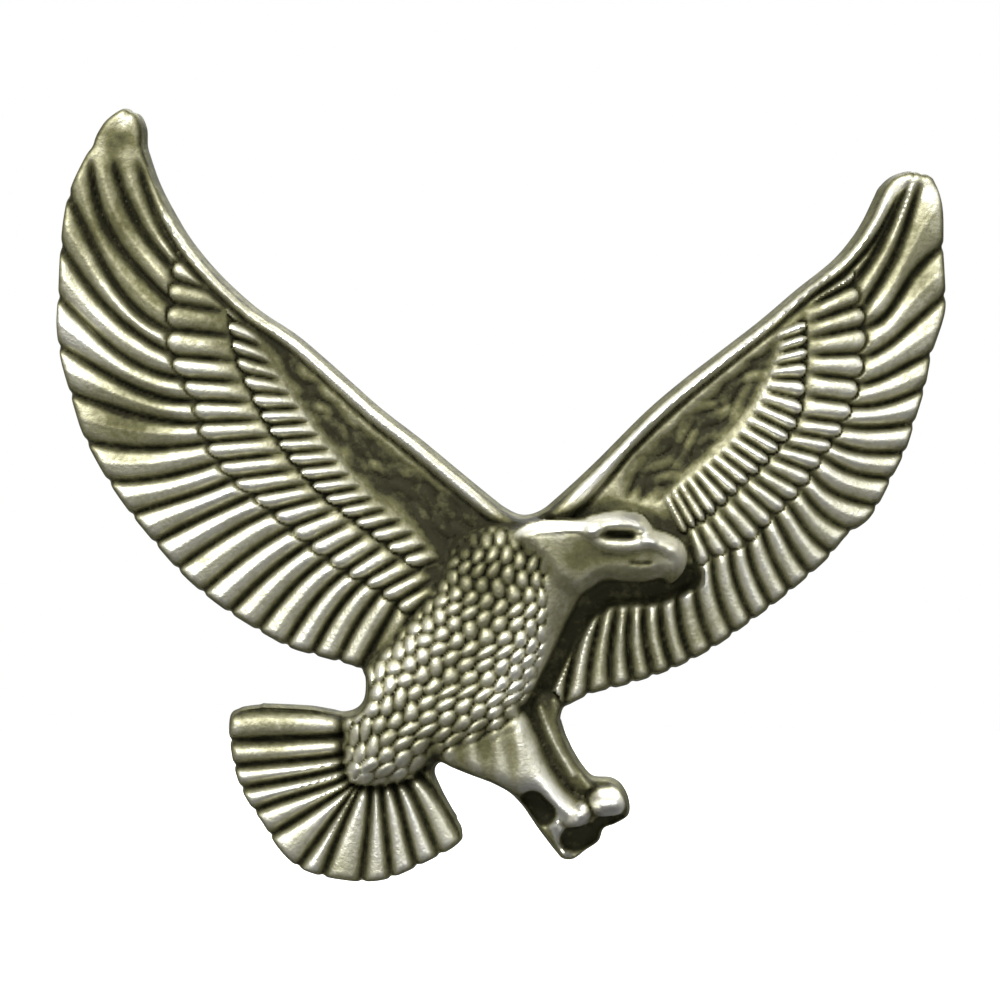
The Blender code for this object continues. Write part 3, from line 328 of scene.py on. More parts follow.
# Ridges and grooves of the head: path, width at its start, middle and end, and rise or depth
HEAD_RIDGES = (
    (((1.0, 3.45), (2.6, 3.7), (4.2, 3.75), (5.2, 3.55)), (0.35, 0.42, 0.4), (0.15, 0.35, 0.3)),
    (((5.0, 3.55), (5.8, 3.95), (7.0, 4.0), (8.0, 3.65)), (0.45, 0.6, 0.4), (0.35, 0.7, 0.3)),
    (((4.8, 3.3), (5.7, 2.75), (7.0, 2.65), (8.2, 2.9)), (0.35, 0.45, 0.4), (0.2, 0.4, 0.3)),
    (((8.1, 2.95), (9.2, 2.8), (9.8, 2.2), (9.8, 1.3)), (0.5, 0.75, 0.4), (0.3, 0.4, 0.1)),
)
HEAD_GROOVES = (
    (((5.95, 3.34), (6.5, 3.3), (7.1, 3.25)), 0.17, 0.5),
    (((7.2, 1.75), (7.7, 1.68), (8.2, 1.75)), 0.12, 0.12),
)


def smoothstep(low, high, value):
    t = np.clip((value - low) / (high - low), 0.0, 1.0)
    return t * t * (3 - 2 * t)


def bell(distance, width):
    return np.exp(-((distance / width) ** 2))


def smooth_max(a, b, blend):
    return 0.5 * (a + b + np.sqrt((a - b) ** 2 + blend**2))


def smooth_curve(points, step, closed=True):
    """Points about one step apart on a Catmull-Rom curve through the given points."""
    corners = np.array(points, float)
    if closed:
        corners = np.vstack([corners[-1:], corners, corners[:2]])
    else:
        corners = np.vstack([2 * corners[0] - corners[1], corners, 2 * corners[-1] - corners[-2]])
    pieces = []
    for i in range(len(corners) - 3):
        p = corners[i: i + 4]
        t = np.arange(max(1, round(np.linalg.norm(p[2] - p[1]) / step)))[:, None]
        t = t / len(t)
        pieces.append(
            0.5 * (2 * p[1] + (p[2] - p[0]) * t + (2 * p[0] - 5 * p[1] + 4 * p[2] - p[3]) * t**2
                   + (3 * p[1] - p[0] - 3 * p[2] + p[3]) * t**3)
        )
    if not closed:
        pieces.append(corners[-2][None])
    return np.vstack(pieces)


def inward_normals(loop):
    along = np.roll(loop, -1, axis=0) - np.roll(loop, 1, axis=0)
    normals = np.stack([along[:, 1], -along[:, 0]], 1)
    return normals / np.linalg.norm(normals, axis=1)[:, None]


def border_edges(faces):
    """The directed edges that only one of these faces has."""
    edges = set()
    for corners in faces:
        for a, b in zip(corners, corners[1:] + corners[:1]):
            if (b, a) in edges:
                edges.remove((b, a))
            else:
                edges.add((a, b))
    return edges


def back_outline(node):
    """The rim of the CAD casting's flat back as a clockwise loop of (x, z) points."""
    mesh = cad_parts[node].data
    points = np.array([v.co[:] for v in mesh.vertices]) / MM
    keys = np.round(points * WELD_PER_MM).astype(int)
    _, first, weld = np.unique(keys, axis=0, return_index=True, return_inverse=True)
    weld = weld.reshape(-1)
    mesh.calc_loop_triangles()
    triangles = [weld[list(triangle.vertices)].tolist() for triangle in mesh.loop_triangles]
    back = [corners for corners in triangles if (np.abs(points[first[corners], 1]) <= BACK_FLAT).all()]
    following = dict(border_edges(back))
    start = min(following)
    loop = [start]
    while following[loop[-1]] != start:
        loop.append(following[loop[-1]])
    ring = points[first[loop]][:, [0, 2]]
    x, z = ring.T
    turning = np.sum(x * np.roll(z, -1) - np.roll(x, -1) * z)
    return ring if turning < 0 else ring[::-1]


class Grid:
    """A square grid over the badge, with the fields that shape the relief."""

    def __init__(self, low, high):
        self.low = low - GRID_MARGIN
        self.shape = tuple(np.ceil((high + GRID_MARGIN - self.low) / GRID_STEP).astype(int))
        xs = self.low[0] + GRID_STEP * np.arange(self.shape[0])
        zs = self.low[1] + GRID_STEP * np.arange(self.shape[1])
        self.x, self.z = np.meshgrid(xs, zs, indexing="ij")

    def sample(self, field, points):
        """Bilinear values of a field at (x, z) points."""
        place = (points - self.low) / GRID_STEP
        cell = np.clip(np.floor(place).astype(int), 0, np.array(self.shape) - 2)
        t = np.clip(place - cell, 0, 1)
        i, j = cell.T
        a = field[i, j] * (1 - t[:, 0]) + field[i + 1, j] * t[:, 0]
        b = field[i, j + 1] * (1 - t[:, 0]) + field[i + 1, j + 1] * t[:, 0]
        return a * (1 - t[:, 1]) + b * t[:, 1]

    def segment(self, start, end):
        """Distance to a segment, and how far along it the nearest point is."""
        ax, az = start
        dx, dz = end[0] - ax, end[1] - az
        t = np.clip(((self.x - ax) * dx + (self.z - az) * dz) / (dx * dx + dz * dz), 0, 1)
        return np.hypot(self.x - ax - dx * t, self.z - az - dz * t), t

    def path(self, points):
        """Distance to a chain of segments, and the share of its length at the nearest point."""
        best = np.full(self.shape, 1e9)
        place = np.zeros(self.shape)
        for k in range(len(points) - 1):
            distance, t = self.segment(points[k], points[k + 1])
            nearer = distance < best
            best[nearer] = distance[nearer]
            place[nearer] = (k + t[nearer]) / (len(points) - 1)
        return best, place

    def inside(self, loop):
        """Even-odd test of every grid point against a closed loop."""
        crossings = np.zeros(self.shape, bool)
        xs = self.x[:, 0]
        for a, b in zip(loop, np.roll(loop, -1, axis=0)):
            if a[1] == b[1]:
                continue
            low, high = sorted((a[1], b[1]))
            rows = np.arange(
                max(0, math.ceil((low - self.low[1]) / GRID_STEP)),
                min(self.shape[1], math.ceil((high - self.low[1]) / GRID_STEP)),
            )
            for j in rows:
                z = self.low[1] + GRID_STEP * j
                if low <= z < high:
                    cut = a[0] + (b[0] - a[0]) * (z - a[1]) / (b[1] - a[1])
                    crossings[xs < cut, j] ^= True
        return crossings

    def depth(self, loop, reach):
        """Distance into a loop of close points, negative outside, exact up to reach."""
        tree = kdtree.KDTree(len(loop))
        for i, p in enumerate(loop):
            tree.insert((p[0], p[1], 0), i)
        tree.balance()
        inside = self.inside(loop)
        near = self.band(loop, reach)
        distance = np.full(self.shape, float(reach))
        for i, j in np.argwhere(near):
            distance[i, j] = min(reach, tree.find((self.x[i, j], self.z[i, j], 0))[2])
        return np.where(inside, distance, -distance)

    def band(self, loop, reach):
        """Grid points within about reach of a loop."""
        near = np.zeros(self.shape, bool)
        span = math.ceil(reach / GRID_STEP) + 1
        for i, j in np.unique(np.round((loop - self.low) / GRID_STEP).astype(int), axis=0):
            near[max(0, i - span): i + span + 1, max(0, j - span): j + span + 1] = True
        return near

    def blur(self, field, mask, radius):
        """Gaussian average of a field over the masked points only."""
        reach = math.ceil(3 * radius / GRID_STEP)
        kernel = np.exp(-0.5 * (np.arange(-reach, reach + 1) * GRID_STEP / radius) ** 2)

        def spread(values):
            for axis in (0, 1):
                values = np.apply_along_axis(np.convolve, axis, values, kernel, "same")
            return values

        return spread(np.where(mask, field, 0.0)) / np.maximum(spread(mask.astype(float)), 1e-6)


def groove_points(entry):
    points = np.array(entry[1:], float)
    if len(points) == 2:
        points = points[0] + (points[1] - points[0]) * np.linspace(0, 1, 4)[:, None]
    return points


def row_lines(row, numbers):
    """The four points of each numbered line of a row, smooth from line to line."""
    knots = np.array([entry[0] for entry in row], float)
    points = np.array([groove_points(entry) for entry in row])
    change = np.diff(points, axis=0) / np.diff(knots)[:, None, None]
    slope = np.concatenate([change[:1], (change[:-1] + change[1:]) / 2, change[-1:]])
    place = np.clip(np.searchsorted(knots, numbers, side="right") - 1, 0, len(knots) - 2)
    width = (knots[place + 1] - knots[place])[:, None, None]
    t = ((numbers - knots[place])[:, None, None]) / width
    return (
        (2 * t**3 - 3 * t**2 + 1) * points[place]
        + (t**3 - 2 * t**2 + t) * width * slope[place]
        + (3 * t**2 - 2 * t**3) * points[place + 1]
        + (t**3 - t**2) * width * slope[place + 1]
    )


def along_lines(lines, s):
    """Points at each s along each line, on the cubic through its four points."""
    a, b, c = s - 1 / 3, s - 2 / 3, s - 1
    weights = np.stack([-4.5 * a * b * c, 13.5 * s * b * c, -13.5 * s * a * c, 4.5 * s * a * b])
    return np.einsum("ks,ukd->usd", weights, lines)


class Row:
    """A feather row laid on the grid: each point's feather number, place along it and sizes in mm."""

    def __init__(self, grid, row, low=-0.06, high=1.08, beyond=0.0):
        first, last = row[0][0] - beyond, row[-1][0] + beyond
        breadth = np.linalg.norm(np.diff(row_lines(row, np.linspace(first, last, 40)), axis=0), axis=2)
        numbers = np.linspace(first, last, math.ceil(breadth.sum(axis=0).max() / SAMPLE_STEP))
        lines = row_lines(row, numbers)
        length = np.linalg.norm(np.diff(lines, axis=1), axis=2).sum(axis=1).max()
        s = np.linspace(low, high, math.ceil(length * (high - low) / SAMPLE_STEP))
        points = along_lines(lines, s)
        across = np.gradient(points, numbers, axis=0)
        along = np.gradient(points, s, axis=1)
        place = np.round((points - grid.low) / GRID_STEP).astype(int)
        off = points - (grid.low + place * GRID_STEP)
        fits = ((place >= 0) & (place < np.array(grid.shape))).all(axis=2)
        which = np.argwhere(fits)
        node = place[fits][:, 0] * grid.shape[1] + place[fits][:, 1]
        order = np.lexsort(((off[fits] ** 2).sum(axis=1), node))
        node, first_of = np.unique(node[order], return_index=True)
        i, j = which[order[first_of]].T
        du, ds, gap = across[i, j], along[i, j], -off[i, j]
        area = du[:, 0] * ds[:, 1] - du[:, 1] * ds[:, 0]
        number = numbers[i] + (gap[:, 0] * ds[:, 1] - gap[:, 1] * ds[:, 0]) / area
        share = s[j] + (du[:, 0] * gap[:, 1] - du[:, 1] * gap[:, 0]) / area
        step = np.linalg.norm(ds, axis=1)

        def field(values, empty):
            whole = np.full(grid.shape[0] * grid.shape[1], float(empty))
            whole[node] = values
            return whole.reshape(grid.shape)

        self.number = field(number, -99)
        self.share = field(share, -99)
        self.width = field(np.abs(area) / step, 1)
        self.length = field(step, 1)
        self.covers = self.number > -90
        self.across = self.number - np.floor(self.number) - 0.5
        self.groove = (0.5 - np.abs(self.across)) * self.width
        self.side = smoothstep(0.0, 0.35, np.minimum(self.number - first, last - self.number) * self.width)

    def bars(self, rise, groove_depth, groove_width, fullness):
        """Rounded bars with a narrow groove between each two."""
        bar = 1 - np.abs(2 * self.across) ** fullness
        return rise * bar - groove_depth * bell(self.groove, groove_width)

    def before_tip(self):
        """Distance left to the rounded tip of each feather, in mm, negative past it."""
        return (1 - self.share) * self.length + TIP_BULGE * (1 - 2 * (2 * self.across) ** 2)


def uneven(numbers, amount, seed):
    """A fixed, slightly different factor for each whole number, from the usual sine hash."""
    wave = np.sin(np.floor(numbers) * 12.9898 + seed * 78.233) * 43758.5453
    return 1 + amount * (2 * (wave - np.floor(wave)) - 1)


def flight_relief(row, seed, showing):
    """Long feathers: a rounded bar each, with a faint shaft, low at its root and gone where showing is 0."""
    bars = row.bars(*FLIGHT_BARS) * uneven(row.number, FLIGHT_UNEVEN, seed)
    shaft = SHAFT_RISE * bell(row.across * row.width, SHAFT_WIDTH)
    root = smoothstep(-0.1, 0.9, row.share * row.length)
    return 0.05 + (bars + shaft) * (0.45 + 0.55 * root) * showing + SMOOTH_TIP_RISE * (1 - showing)


def lay_coverts(height, base, row, lift, rise, seed):
    """Lays a row of short feathers over what is below it, with a groove round every tip."""
    left = row.before_tip()
    bars = row.bars(rise, *COVERT_BARS) * uneven(row.number, COVERT_UNEVEN, seed)
    bars = bars * (0.15 + 0.85 * smoothstep(0.0, 0.45, row.share))
    rounded = 1 - smoothstep(0.45, 0.0, left)
    top = base + lift * (0.35 + 0.65 * smoothstep(0.0, 1.0, row.share)) + bars - 0.12 * (1 - rounded)
    groove = TIP_STEP * bell(np.minimum(left, 0), TIP_STEP) * smoothstep(0.4, 0.8, row.share) * row.side
    under = height - np.where(row.covers, groove, 0)
    root = smoothstep(-0.05, 0.12, row.share)
    cover = np.where(row.covers, smoothstep(-0.03, 0.1, left) * root * row.side, 0)
    return under * (1 - cover) + top * cover


def beads(across, down):
    """Rounded scales in staggered ranks, 0 in the gaps between them to 1 on their tops."""
    best = np.zeros(np.shape(across))
    for back in (1, 0):
        rank = np.floor(down) - back
        place = across + 0.5 * (rank % 2)
        side = (place - np.floor(place) - 0.5) / SCALE_HALF_WIDTH
        reach = (down - rank - SCALE_MIDDLE) / SCALE_HALF_LENGTH
        best = np.maximum(best, np.sqrt(np.clip(1 - side**2 - reach**2, 0, 1)))
    return best


def form_height(grid, form):
    """Height of a rounded form over the grid, 0 outside it."""
    start, end, start_radius, end_radius, start_height, end_height = form
    distance, t = grid.segment(start, end)
    ratio = distance / (start_radius + (end_radius - start_radius) * t)
    height = start_height + (end_height - start_height) * t
    return height * np.clip(1 - ratio * ratio, 0, None) ** 0.5


def pillow(grid, points, width, reach=2.5):
    """0 at the border of a smooth closed shape, rising on a round shoulder to 1 at width inside it."""
    depth = grid.depth(smooth_curve(points, SAMPLE_STEP), reach)
    t = np.clip(depth / width, 0, 1)
    return np.sqrt(1 - (1 - t) ** 2), depth


def wing_layers(grid, height, base):
    """Feather rows of both wings and the tail, lowest first."""
    flights = []
    for seed, (flight, greater, lesser) in enumerate((
        (LEFT_FLIGHT, LEFT_GREATER, LEFT_LESSER),
        (RIGHT_FLIGHT, RIGHT_GREATER, RIGHT_LESSER),
    )):
        row = Row(grid, flight, beyond=0.9)
        flights.append(row)
        showing = smoothstep(*TIP_CAPS[seed], grid.z)
        relief = flight_relief(row, seed, showing) * row.side
        height = np.where(row.covers, base + relief, height)
        height = lay_coverts(height, base, Row(grid, greater, beyond=0.6), *GREATER_BARS, seed + 2)
        height = lay_coverts(height, base, Row(grid, lesser, beyond=0.3), *LESSER_BARS, seed + 4)
    tail = Row(grid, TAIL, beyond=0.8)
    flights.append(tail)
    relief = tail.bars(*TAIL_BARS) * uneven(tail.number, TAIL_UNEVEN, 9)
    height = np.where(tail.covers, base + (relief - 0.1) * tail.side, height)
    return height, flights


def add_hollows(grid, height, base):
    """Sunk areas below the leading edges, with small scale feathers in them."""
    shade = np.zeros(grid.shape)
    toward_tips = (-0.8, 0.6), (0.75, 0.66)
    for hollow, (ax, az) in zip((LEFT_HOLLOW, RIGHT_HOLLOW), toward_tips):
        depth = grid.depth(smooth_curve(hollow, SAMPLE_STEP), 1.5)
        sunk = smoothstep(-0.35, 0.5, depth)
        along = (grid.x * ax + grid.z * az) / HOLLOW_SCALE_LENGTH
        across = (grid.x * -az + grid.z * ax) / HOLLOW_SCALE_WIDTH
        across = across + 0.3 * np.sin(2.3 * along + 0.4 * grid.x)
        along = along + 0.35 * np.sin(1.3 * across + 0.5 * grid.z)
        floor = base - HOLLOW_DEPTH + HOLLOW_SCALE_RISE * beads(across, along)
        height = height * (1 - sunk) + floor * sunk
        blotch = np.sin(1.9 * grid.x + 0.8 * grid.z) * np.sin(1.1 * grid.x - 2.2 * grid.z)
        shade -= (0.6 + 0.4 * blotch) * sunk
    return height, shade


def add_leading_edges(grid, height, base, depth):
    """A smooth rounded bead along the top of each wing, with a slope from it down to the feathers."""
    for line, widths in ((LEFT_EDGE, LEFT_EDGE_WIDTH), (RIGHT_EDGE, RIGHT_EDGE_WIDTH)):
        distance, place = grid.path(smooth_curve(line, 0.3, closed=False))
        half = np.interp(place, *zip(*widths))
        near = smoothstep(2.2, 1.7, distance) * smoothstep(0.0, 0.06, place)
        top = np.sqrt(np.clip(1 - ((depth - half - EDGE_SET_IN) / half) ** 2, 0, 1))
        inner = np.where(depth > half + EDGE_SET_IN, base - 0.2, 0)
        edge = np.maximum(EDGE_BASE + EDGE_RISE * top, inner)
        on_edge = near * smoothstep(2 * half + 0.55, 2 * half + 0.1, depth)
        height = height * (1 - on_edge) + edge * on_edge
    return height


def add_legs(grid, height):
    """The rear leg, then the near leg over it, and the closed feet."""
    shoulder, depth = pillow(grid, REAR_LEG_SHAPE, 0.9)
    height = np.where(depth > 0, REAR_LEG_BASE + REAR_LEG_RISE * shoulder, height)
    shade = np.where(depth > 0, -0.3, 0.0)
    for path, radius, rise in LEG_TENDONS:
        distance, _ = grid.path(smooth_curve(path, 0.2, closed=False))
        height = height + rise * bell(distance, radius)
    shoulder, depth = pillow(grid, THIGH_SHAPE, 1.3)
    strands = np.sin(grid.x * 4.3 + 0.6 * grid.z + 1.0) * smoothstep(-11.6, -9.8, grid.z)
    strands = 0.15 * strands * smoothstep(1.6, 0.6, grid.x)
    leg = LEG_BASE + (LEG_RISE + strands) * shoulder
    height = np.where(depth > 0, smooth_max(height, leg, 0.15), height)
    shade = np.where(depth > 0, -0.2 * smoothstep(1.6, 0.2, grid.x), shade)
    for form in FOOT_FORMS:
        height = smooth_max(height, form_height(grid, form), 0.1)
    for start, end, reach, floor in FOOT_RECESSES:
        distance, _ = grid.segment(start, end)
        hole = smoothstep(reach, reach * 0.5, distance)
        height = height * (1 - hole) + floor * hole
        shade = shade - 1.5 * hole
    return height, shade


def add_torso(grid, height):
    """The body on its round shoulder, with a groove before the tail, and its scales."""
    shoulder, depth = pillow(grid, TORSO_SHAPE, 2.4)
    at_tail = smoothstep(-3.2, -4.6, grid.x) * smoothstep(-2.0, -6.0, grid.z)
    height = height - 0.35 * bell(np.minimum(depth, 0), 0.3) * (depth < 0) * at_tail
    torso = TORSO_BASE + TORSO_RISE * shoulder - TORSO_FALL * smoothstep(-2, -9, grid.z)
    blend = 0.3 + 0.9 * smoothstep(-4.5, -6.5, grid.z)
    height = np.where(depth > 0, smooth_max(height, torso, blend * shoulder + 0.01), height)
    into_shape = grid.depth(smooth_curve(SCALED_SHAPE, SAMPLE_STEP), 1.5)
    fading = 0.2 + 1.2 * smoothstep(-5.5, -7.5, grid.z) * smoothstep(-3.5, -2.0, grid.x)
    scaled = smoothstep(-0.1, fading, into_shape)
    body = Row(grid, BODY, low=-0.12, high=1.06, beyond=2.4)
    down = body.share * BODY_LENGTH / BODY_SCALE_PITCH
    across = body.number + 0.13 * np.sin(2.1 * down + 0.4 * body.number)
    down = down + 0.14 * np.sin(1.9 * body.number + 0.3 * down)
    return height + scaled * body.covers * (BODY_SCALE_RISE * beads(across, down) - BODY_SCALE_BED)


def add_head(grid, height):
    """Head, neck and beak, smooth but for the brow, the eye and the mouth."""
    shoulder, depth = pillow(grid, HEAD_SHAPE, 1.0)
    head = HEAD_BASE + HEAD_RISE * shoulder - 0.2 * (3.2 - grid.z)
    blend = 0.15 + 0.9 * smoothstep(5.2, 3.0, grid.x)
    height = np.where(depth > 0, smooth_max(height, head, blend * shoulder + 0.02), height)
    shade = np.where(depth > 0, -0.65 * smoothstep(0.05, 0.6, depth), 0.0)
    for path, radii, rises in HEAD_RIDGES:
        distance, place = grid.path(smooth_curve(path, 0.15, closed=False))
        radius = np.interp(place, (0, 0.5, 1), radii)
        rise = np.interp(place, (0, 0.5, 1), rises)
        ridge = np.clip(1 - (distance / radius) ** 2, 0, 1) ** 0.8
        height = height + rise * ridge
        shade = shade + 0.35 * ridge
    for path, width, cut in HEAD_GROOVES:
        distance, _ = grid.path(smooth_curve(path, 0.1, closed=False))
        height = height - cut * bell(distance, width)
        shade = shade - 1.2 * bell(distance, width)
    return height, shade


def main_relief(grid, loop):
    """Front height over the back plane, painted light and shade, and the rows whose tips reach the outline.
    """
    nearest = np.minimum(*(grid.path(line)[0] for line in WING_CROWNS))
    base = SHEET_HEIGHT + CROWN_RISE * bell(nearest, CROWN_REACH)
    height, flights = wing_layers(grid, base.copy(), base)
    height, shade = add_hollows(grid, height, base)
    height = add_leading_edges(grid, height, base, grid.depth(loop, 3.0))
    distance, place = grid.path(smooth_curve(CHIN_HOLLOW, 0.3, closed=False))
    reach = np.interp(place, *CHIN_REACH)
    chin = smoothstep(reach, 0.25 * reach, distance)
    height = height * (1 - chin) + CHIN_FLOOR * chin
    shade -= CHIN_SHADE * chin
    height, leg_shade = add_legs(grid, height)
    shade += leg_shade
    height = add_torso(grid, height)
    height, head_shade = add_head(grid, height)
    shade += head_shade
    # Broad painted highlights and painted shade laid over the relief's tone
    for x, z, reach, amount in PAINTED_LIGHT_AND_SHADE:
        shade += amount * bell(np.hypot(grid.x - x, grid.z - z), reach)
    return height, shade, flights


def inset_room(grid, loop, normals, reach):
    """Share of the full inset that fits at each point of the loop, under 1 at sharp tips."""
    depth = grid.depth(loop, 2 * reach)
    lost = 1 - grid.sample(depth, loop + normals * reach) / reach
    room = np.clip(1.05 - 6 * lost, 0.25, 1.0)
    for _ in range(6):
        room = np.minimum(room, np.minimum(np.roll(room, 1), np.roll(room, -1)))
    for _ in range(6):
        room = (room + np.roll(room, 1) + np.roll(room, -1)) / 3
    return room


def casting_mesh():
    coarse = back_outline("eagle_casting")
    grid = Grid(coarse.min(axis=0), coarse.max(axis=0))
    loop = smooth_curve(coarse, OUTLINE_STEP)
    height, shade, flights = main_relief(grid, loop)

    # A small notch in the outline between each two feather tips
    normals = inward_normals(loop)
    notch = np.zeros(len(loop))
    for row in flights:
        at_tip = row.covers & (row.share > 0.75)
        strength = np.where(at_tip, bell(row.groove, 0.16), 0.0)
        notch = np.maximum(notch, grid.sample(strength, loop + 0.15 * normals))
    room = inset_room(grid, loop, normals, TOP_RINGS[-1])

    def inset_loop(inset):
        fade = max(0.0, 1 - inset / GRID_INSET)
        return loop + normals * (inset * room + NOTCH_DEPTH * fade * notch)[:, None]

    depth = grid.depth(inset_loop(0.0), 1.5)
    inside = depth > 0
    rolled = EDGE_HEIGHT + (height - EDGE_HEIGHT) * smoothstep(-0.1, EDGE_ROUND, depth) ** 0.5
    height = np.where(inside, rolled, height)
    # Painted shade in a band along the outline, darker toward the right, where the edges catch less light
    painted_edge_shade = smoothstep(0.45, 0.15, depth) * (0.5 + 0.4 * smoothstep(-2, 2, grid.x))
    tone = np.clip(cavity(grid, height, inside) + shade - painted_edge_shade, -1, 1)

    verts, faces, tones = [], [], []

    def add(points, y, values):
        start = len(verts)
        y = np.broadcast_to(y, len(points))
        verts.extend(np.stack([points[:, 0], y, points[:, 1]], 1))
        tones.extend(np.broadcast_to(values, len(points)))
        return start

    count = len(loop)
    rings = [add(inset_loop(BACK_BEVEL), 0.0, -0.3)]
    # The walls are painted dark, darkest toward the back: painted shade along the outline
    for inset, share in WALL_RINGS:
        rings.append(add(inset_loop(inset), -EDGE_HEIGHT * share, -0.9 + 0.3 * share))
    for inset in TOP_RINGS:
        points = inset_loop(inset)
        rings.append(add(points, -grid.sample(height, points), grid.sample(tone, points)))
    for a, b in zip(rings, rings[1:]):
        for i in range(count):
            j = (i + 1) % count
            faces.append((a + i, a + j, b + j, b + i))

    # Regular grid inside, and a strip of triangles that joins it to the last ring
    kept = depth > GRID_INSET
    cells = kept[:-1, :-1] & kept[1:, :-1] & kept[:-1, 1:] & kept[1:, 1:]
    used = np.zeros(grid.shape, bool)
    for di in (0, 1):
        for dj in (0, 1):
            used[di: di + cells.shape[0], dj: dj + cells.shape[1]] |= cells
    index = np.full(grid.shape, -1)
    places = np.stack([grid.x[used], grid.z[used]], 1)
    index[used] = add(places, -height[used], tone[used]) + np.arange(len(places))
    i, j = np.nonzero(cells)
    quads = np.stack([index[i, j], index[i, j + 1], index[i + 1, j + 1], index[i + 1, j]], 1)
    faces.extend(map(tuple, quads))
    faces.extend(joining_strip(grid, cells, quads, verts, rings[-1], count))

    # Flat back
    start = rings[0]
    back = [Vector((verts[start + k][0], verts[start + k][2])) for k in range(count)]
    edges = [(k, (k + 1) % count) for k in range(count)]
    for face in geometry.delaunay_2d_cdt(back, edges, [], 1, 1e-6)[2]:
        faces.append(tuple(start + k for k in reversed(face)))
    return np.array(verts) * MM, faces, np.array(tones)


def joining_strip(grid, cells, quads, verts, ring, count):
    """Triangles between the innermost ring and the jagged border of the grid."""
    border = border_edges(map(tuple, quads))
    ring_points = [ring + k for k in range(count)]
    names = ring_points + sorted({a for a, _ in border})
    place = {name: k for k, name in enumerate(names)}
    flat = [Vector((verts[n][0], verts[n][2])) for n in names]
    edges = [(k, (k + 1) % count) for k in range(count)]
    edges += sorted((place[a], place[b]) for a, b in border)
    outer = np.array([p[:] for p in flat[:count]])
    found = geometry.delaunay_2d_cdt(flat, edges, [], 0, 1e-6)
    triangles = np.array(found[2])
    crossed = [tuple(round(v, 2) for v in p) for p, sources in zip(found[0], found[3]) if not sources]
    if crossed:
        raise ValueError(f"the innermost ring crosses itself or the grid at {crossed}")
    original = [sources[0] for sources in found[3]]
    centres = np.array([p[:] for p in found[0]])[triangles].mean(axis=1)
    cell = np.floor((centres - grid.low) / GRID_STEP).astype(int)
    cell = np.clip(cell, 0, np.array(cells.shape) - 1)
    outside_grid = ~cells[cell[:, 0], cell[:, 1]]
    within = points_inside(centres, outer)
    keep = triangles[outside_grid & within]
    return [tuple(names[original[k]] for k in triangle) for triangle in keep]


def points_inside(points, loop):
    """Even-odd test of points against a loop."""
    crossings = np.zeros(len(points), bool)
    for a, b in zip(loop, np.roll(loop, -1, axis=0)):
        spans = (a[1] > points[:, 1]) != (b[1] > points[:, 1])
        if spans.any():
            cut = a[0] + (b[0] - a[0]) * (points[spans, 1] - a[1]) / (b[1] - a[1])
            crossings[np.nonzero(spans)[0][points[spans, 0] < cut]] ^= True
    return crossings


def cavity(grid, height, inside):
    """Near 1 on high ridges and near -1 in recesses."""
    fine = height - grid.blur(height, inside, 0.3)
    middle = height - grid.blur(height, inside, 0.8)
    broad = height - grid.blur(height, inside, 2.2)
    return np.clip(2.1 * fine + 1.1 * middle + 0.25 * broad, -1, 1)


class Tree:
    """Short calls that add nodes to one shader tree."""

    def __init__(self, tree):
        self.nodes = tree.nodes
        self.link = tree.links.new

    def noise(self, coordinates, scale, detail):
        node = self.nodes.new("ShaderNodeTexNoise")
        node.inputs["Scale"].default_value = scale
        node.inputs["Detail"].default_value = detail
        node.inputs["Roughness"].default_value = 0.55
        self.link(coordinates, node.inputs["Vector"])
        return node.outputs["Fac"]

    def math(self, operation, *values):
        """A maths node, with each socket set to a number or linked to a socket."""
        node = self.nodes.new("ShaderNodeMath")
        node.operation = operation
        for socket, value in zip(node.inputs, values):
            if isinstance(value, float):
                socket.default_value = value
            else:
                self.link(value, socket)
        return node.outputs[0]

    def ramp(self, value, target, stops):
        """Gives the target socket the stops' colours or greys, by the value."""
        node = self.nodes.new("ShaderNodeValToRGB")
        elements = node.color_ramp.elements
        while len(elements) < len(stops):
            elements.new(0.5)
        for element, (position, colour) in zip(elements, stops):
            element.position = position
            element.color = (*np.broadcast_to(colour, 3), 1)
        self.link(value, node.inputs["Fac"])
        self.link(node.outputs["Color"], target)

    def bump(self, height, target, strength, distance):
        node = self.nodes.new("ShaderNodeBump")
        node.inputs["Strength"].default_value = strength
        node.inputs["Distance"].default_value = distance
        self.link(height, node.inputs["Height"])
        self.link(node.outputs["Normal"], target)


def new_material(name):
    """A material, its tree, the inputs of its shader and its object coordinates."""
    material = bpy.data.materials.new(name)
    material.use_nodes = True
    tree = Tree(material.node_tree)
    coordinates = tree.nodes.new("ShaderNodeTexCoord").outputs["Object"]
    return material, tree, tree.nodes["Principled BSDF"].inputs, coordinates


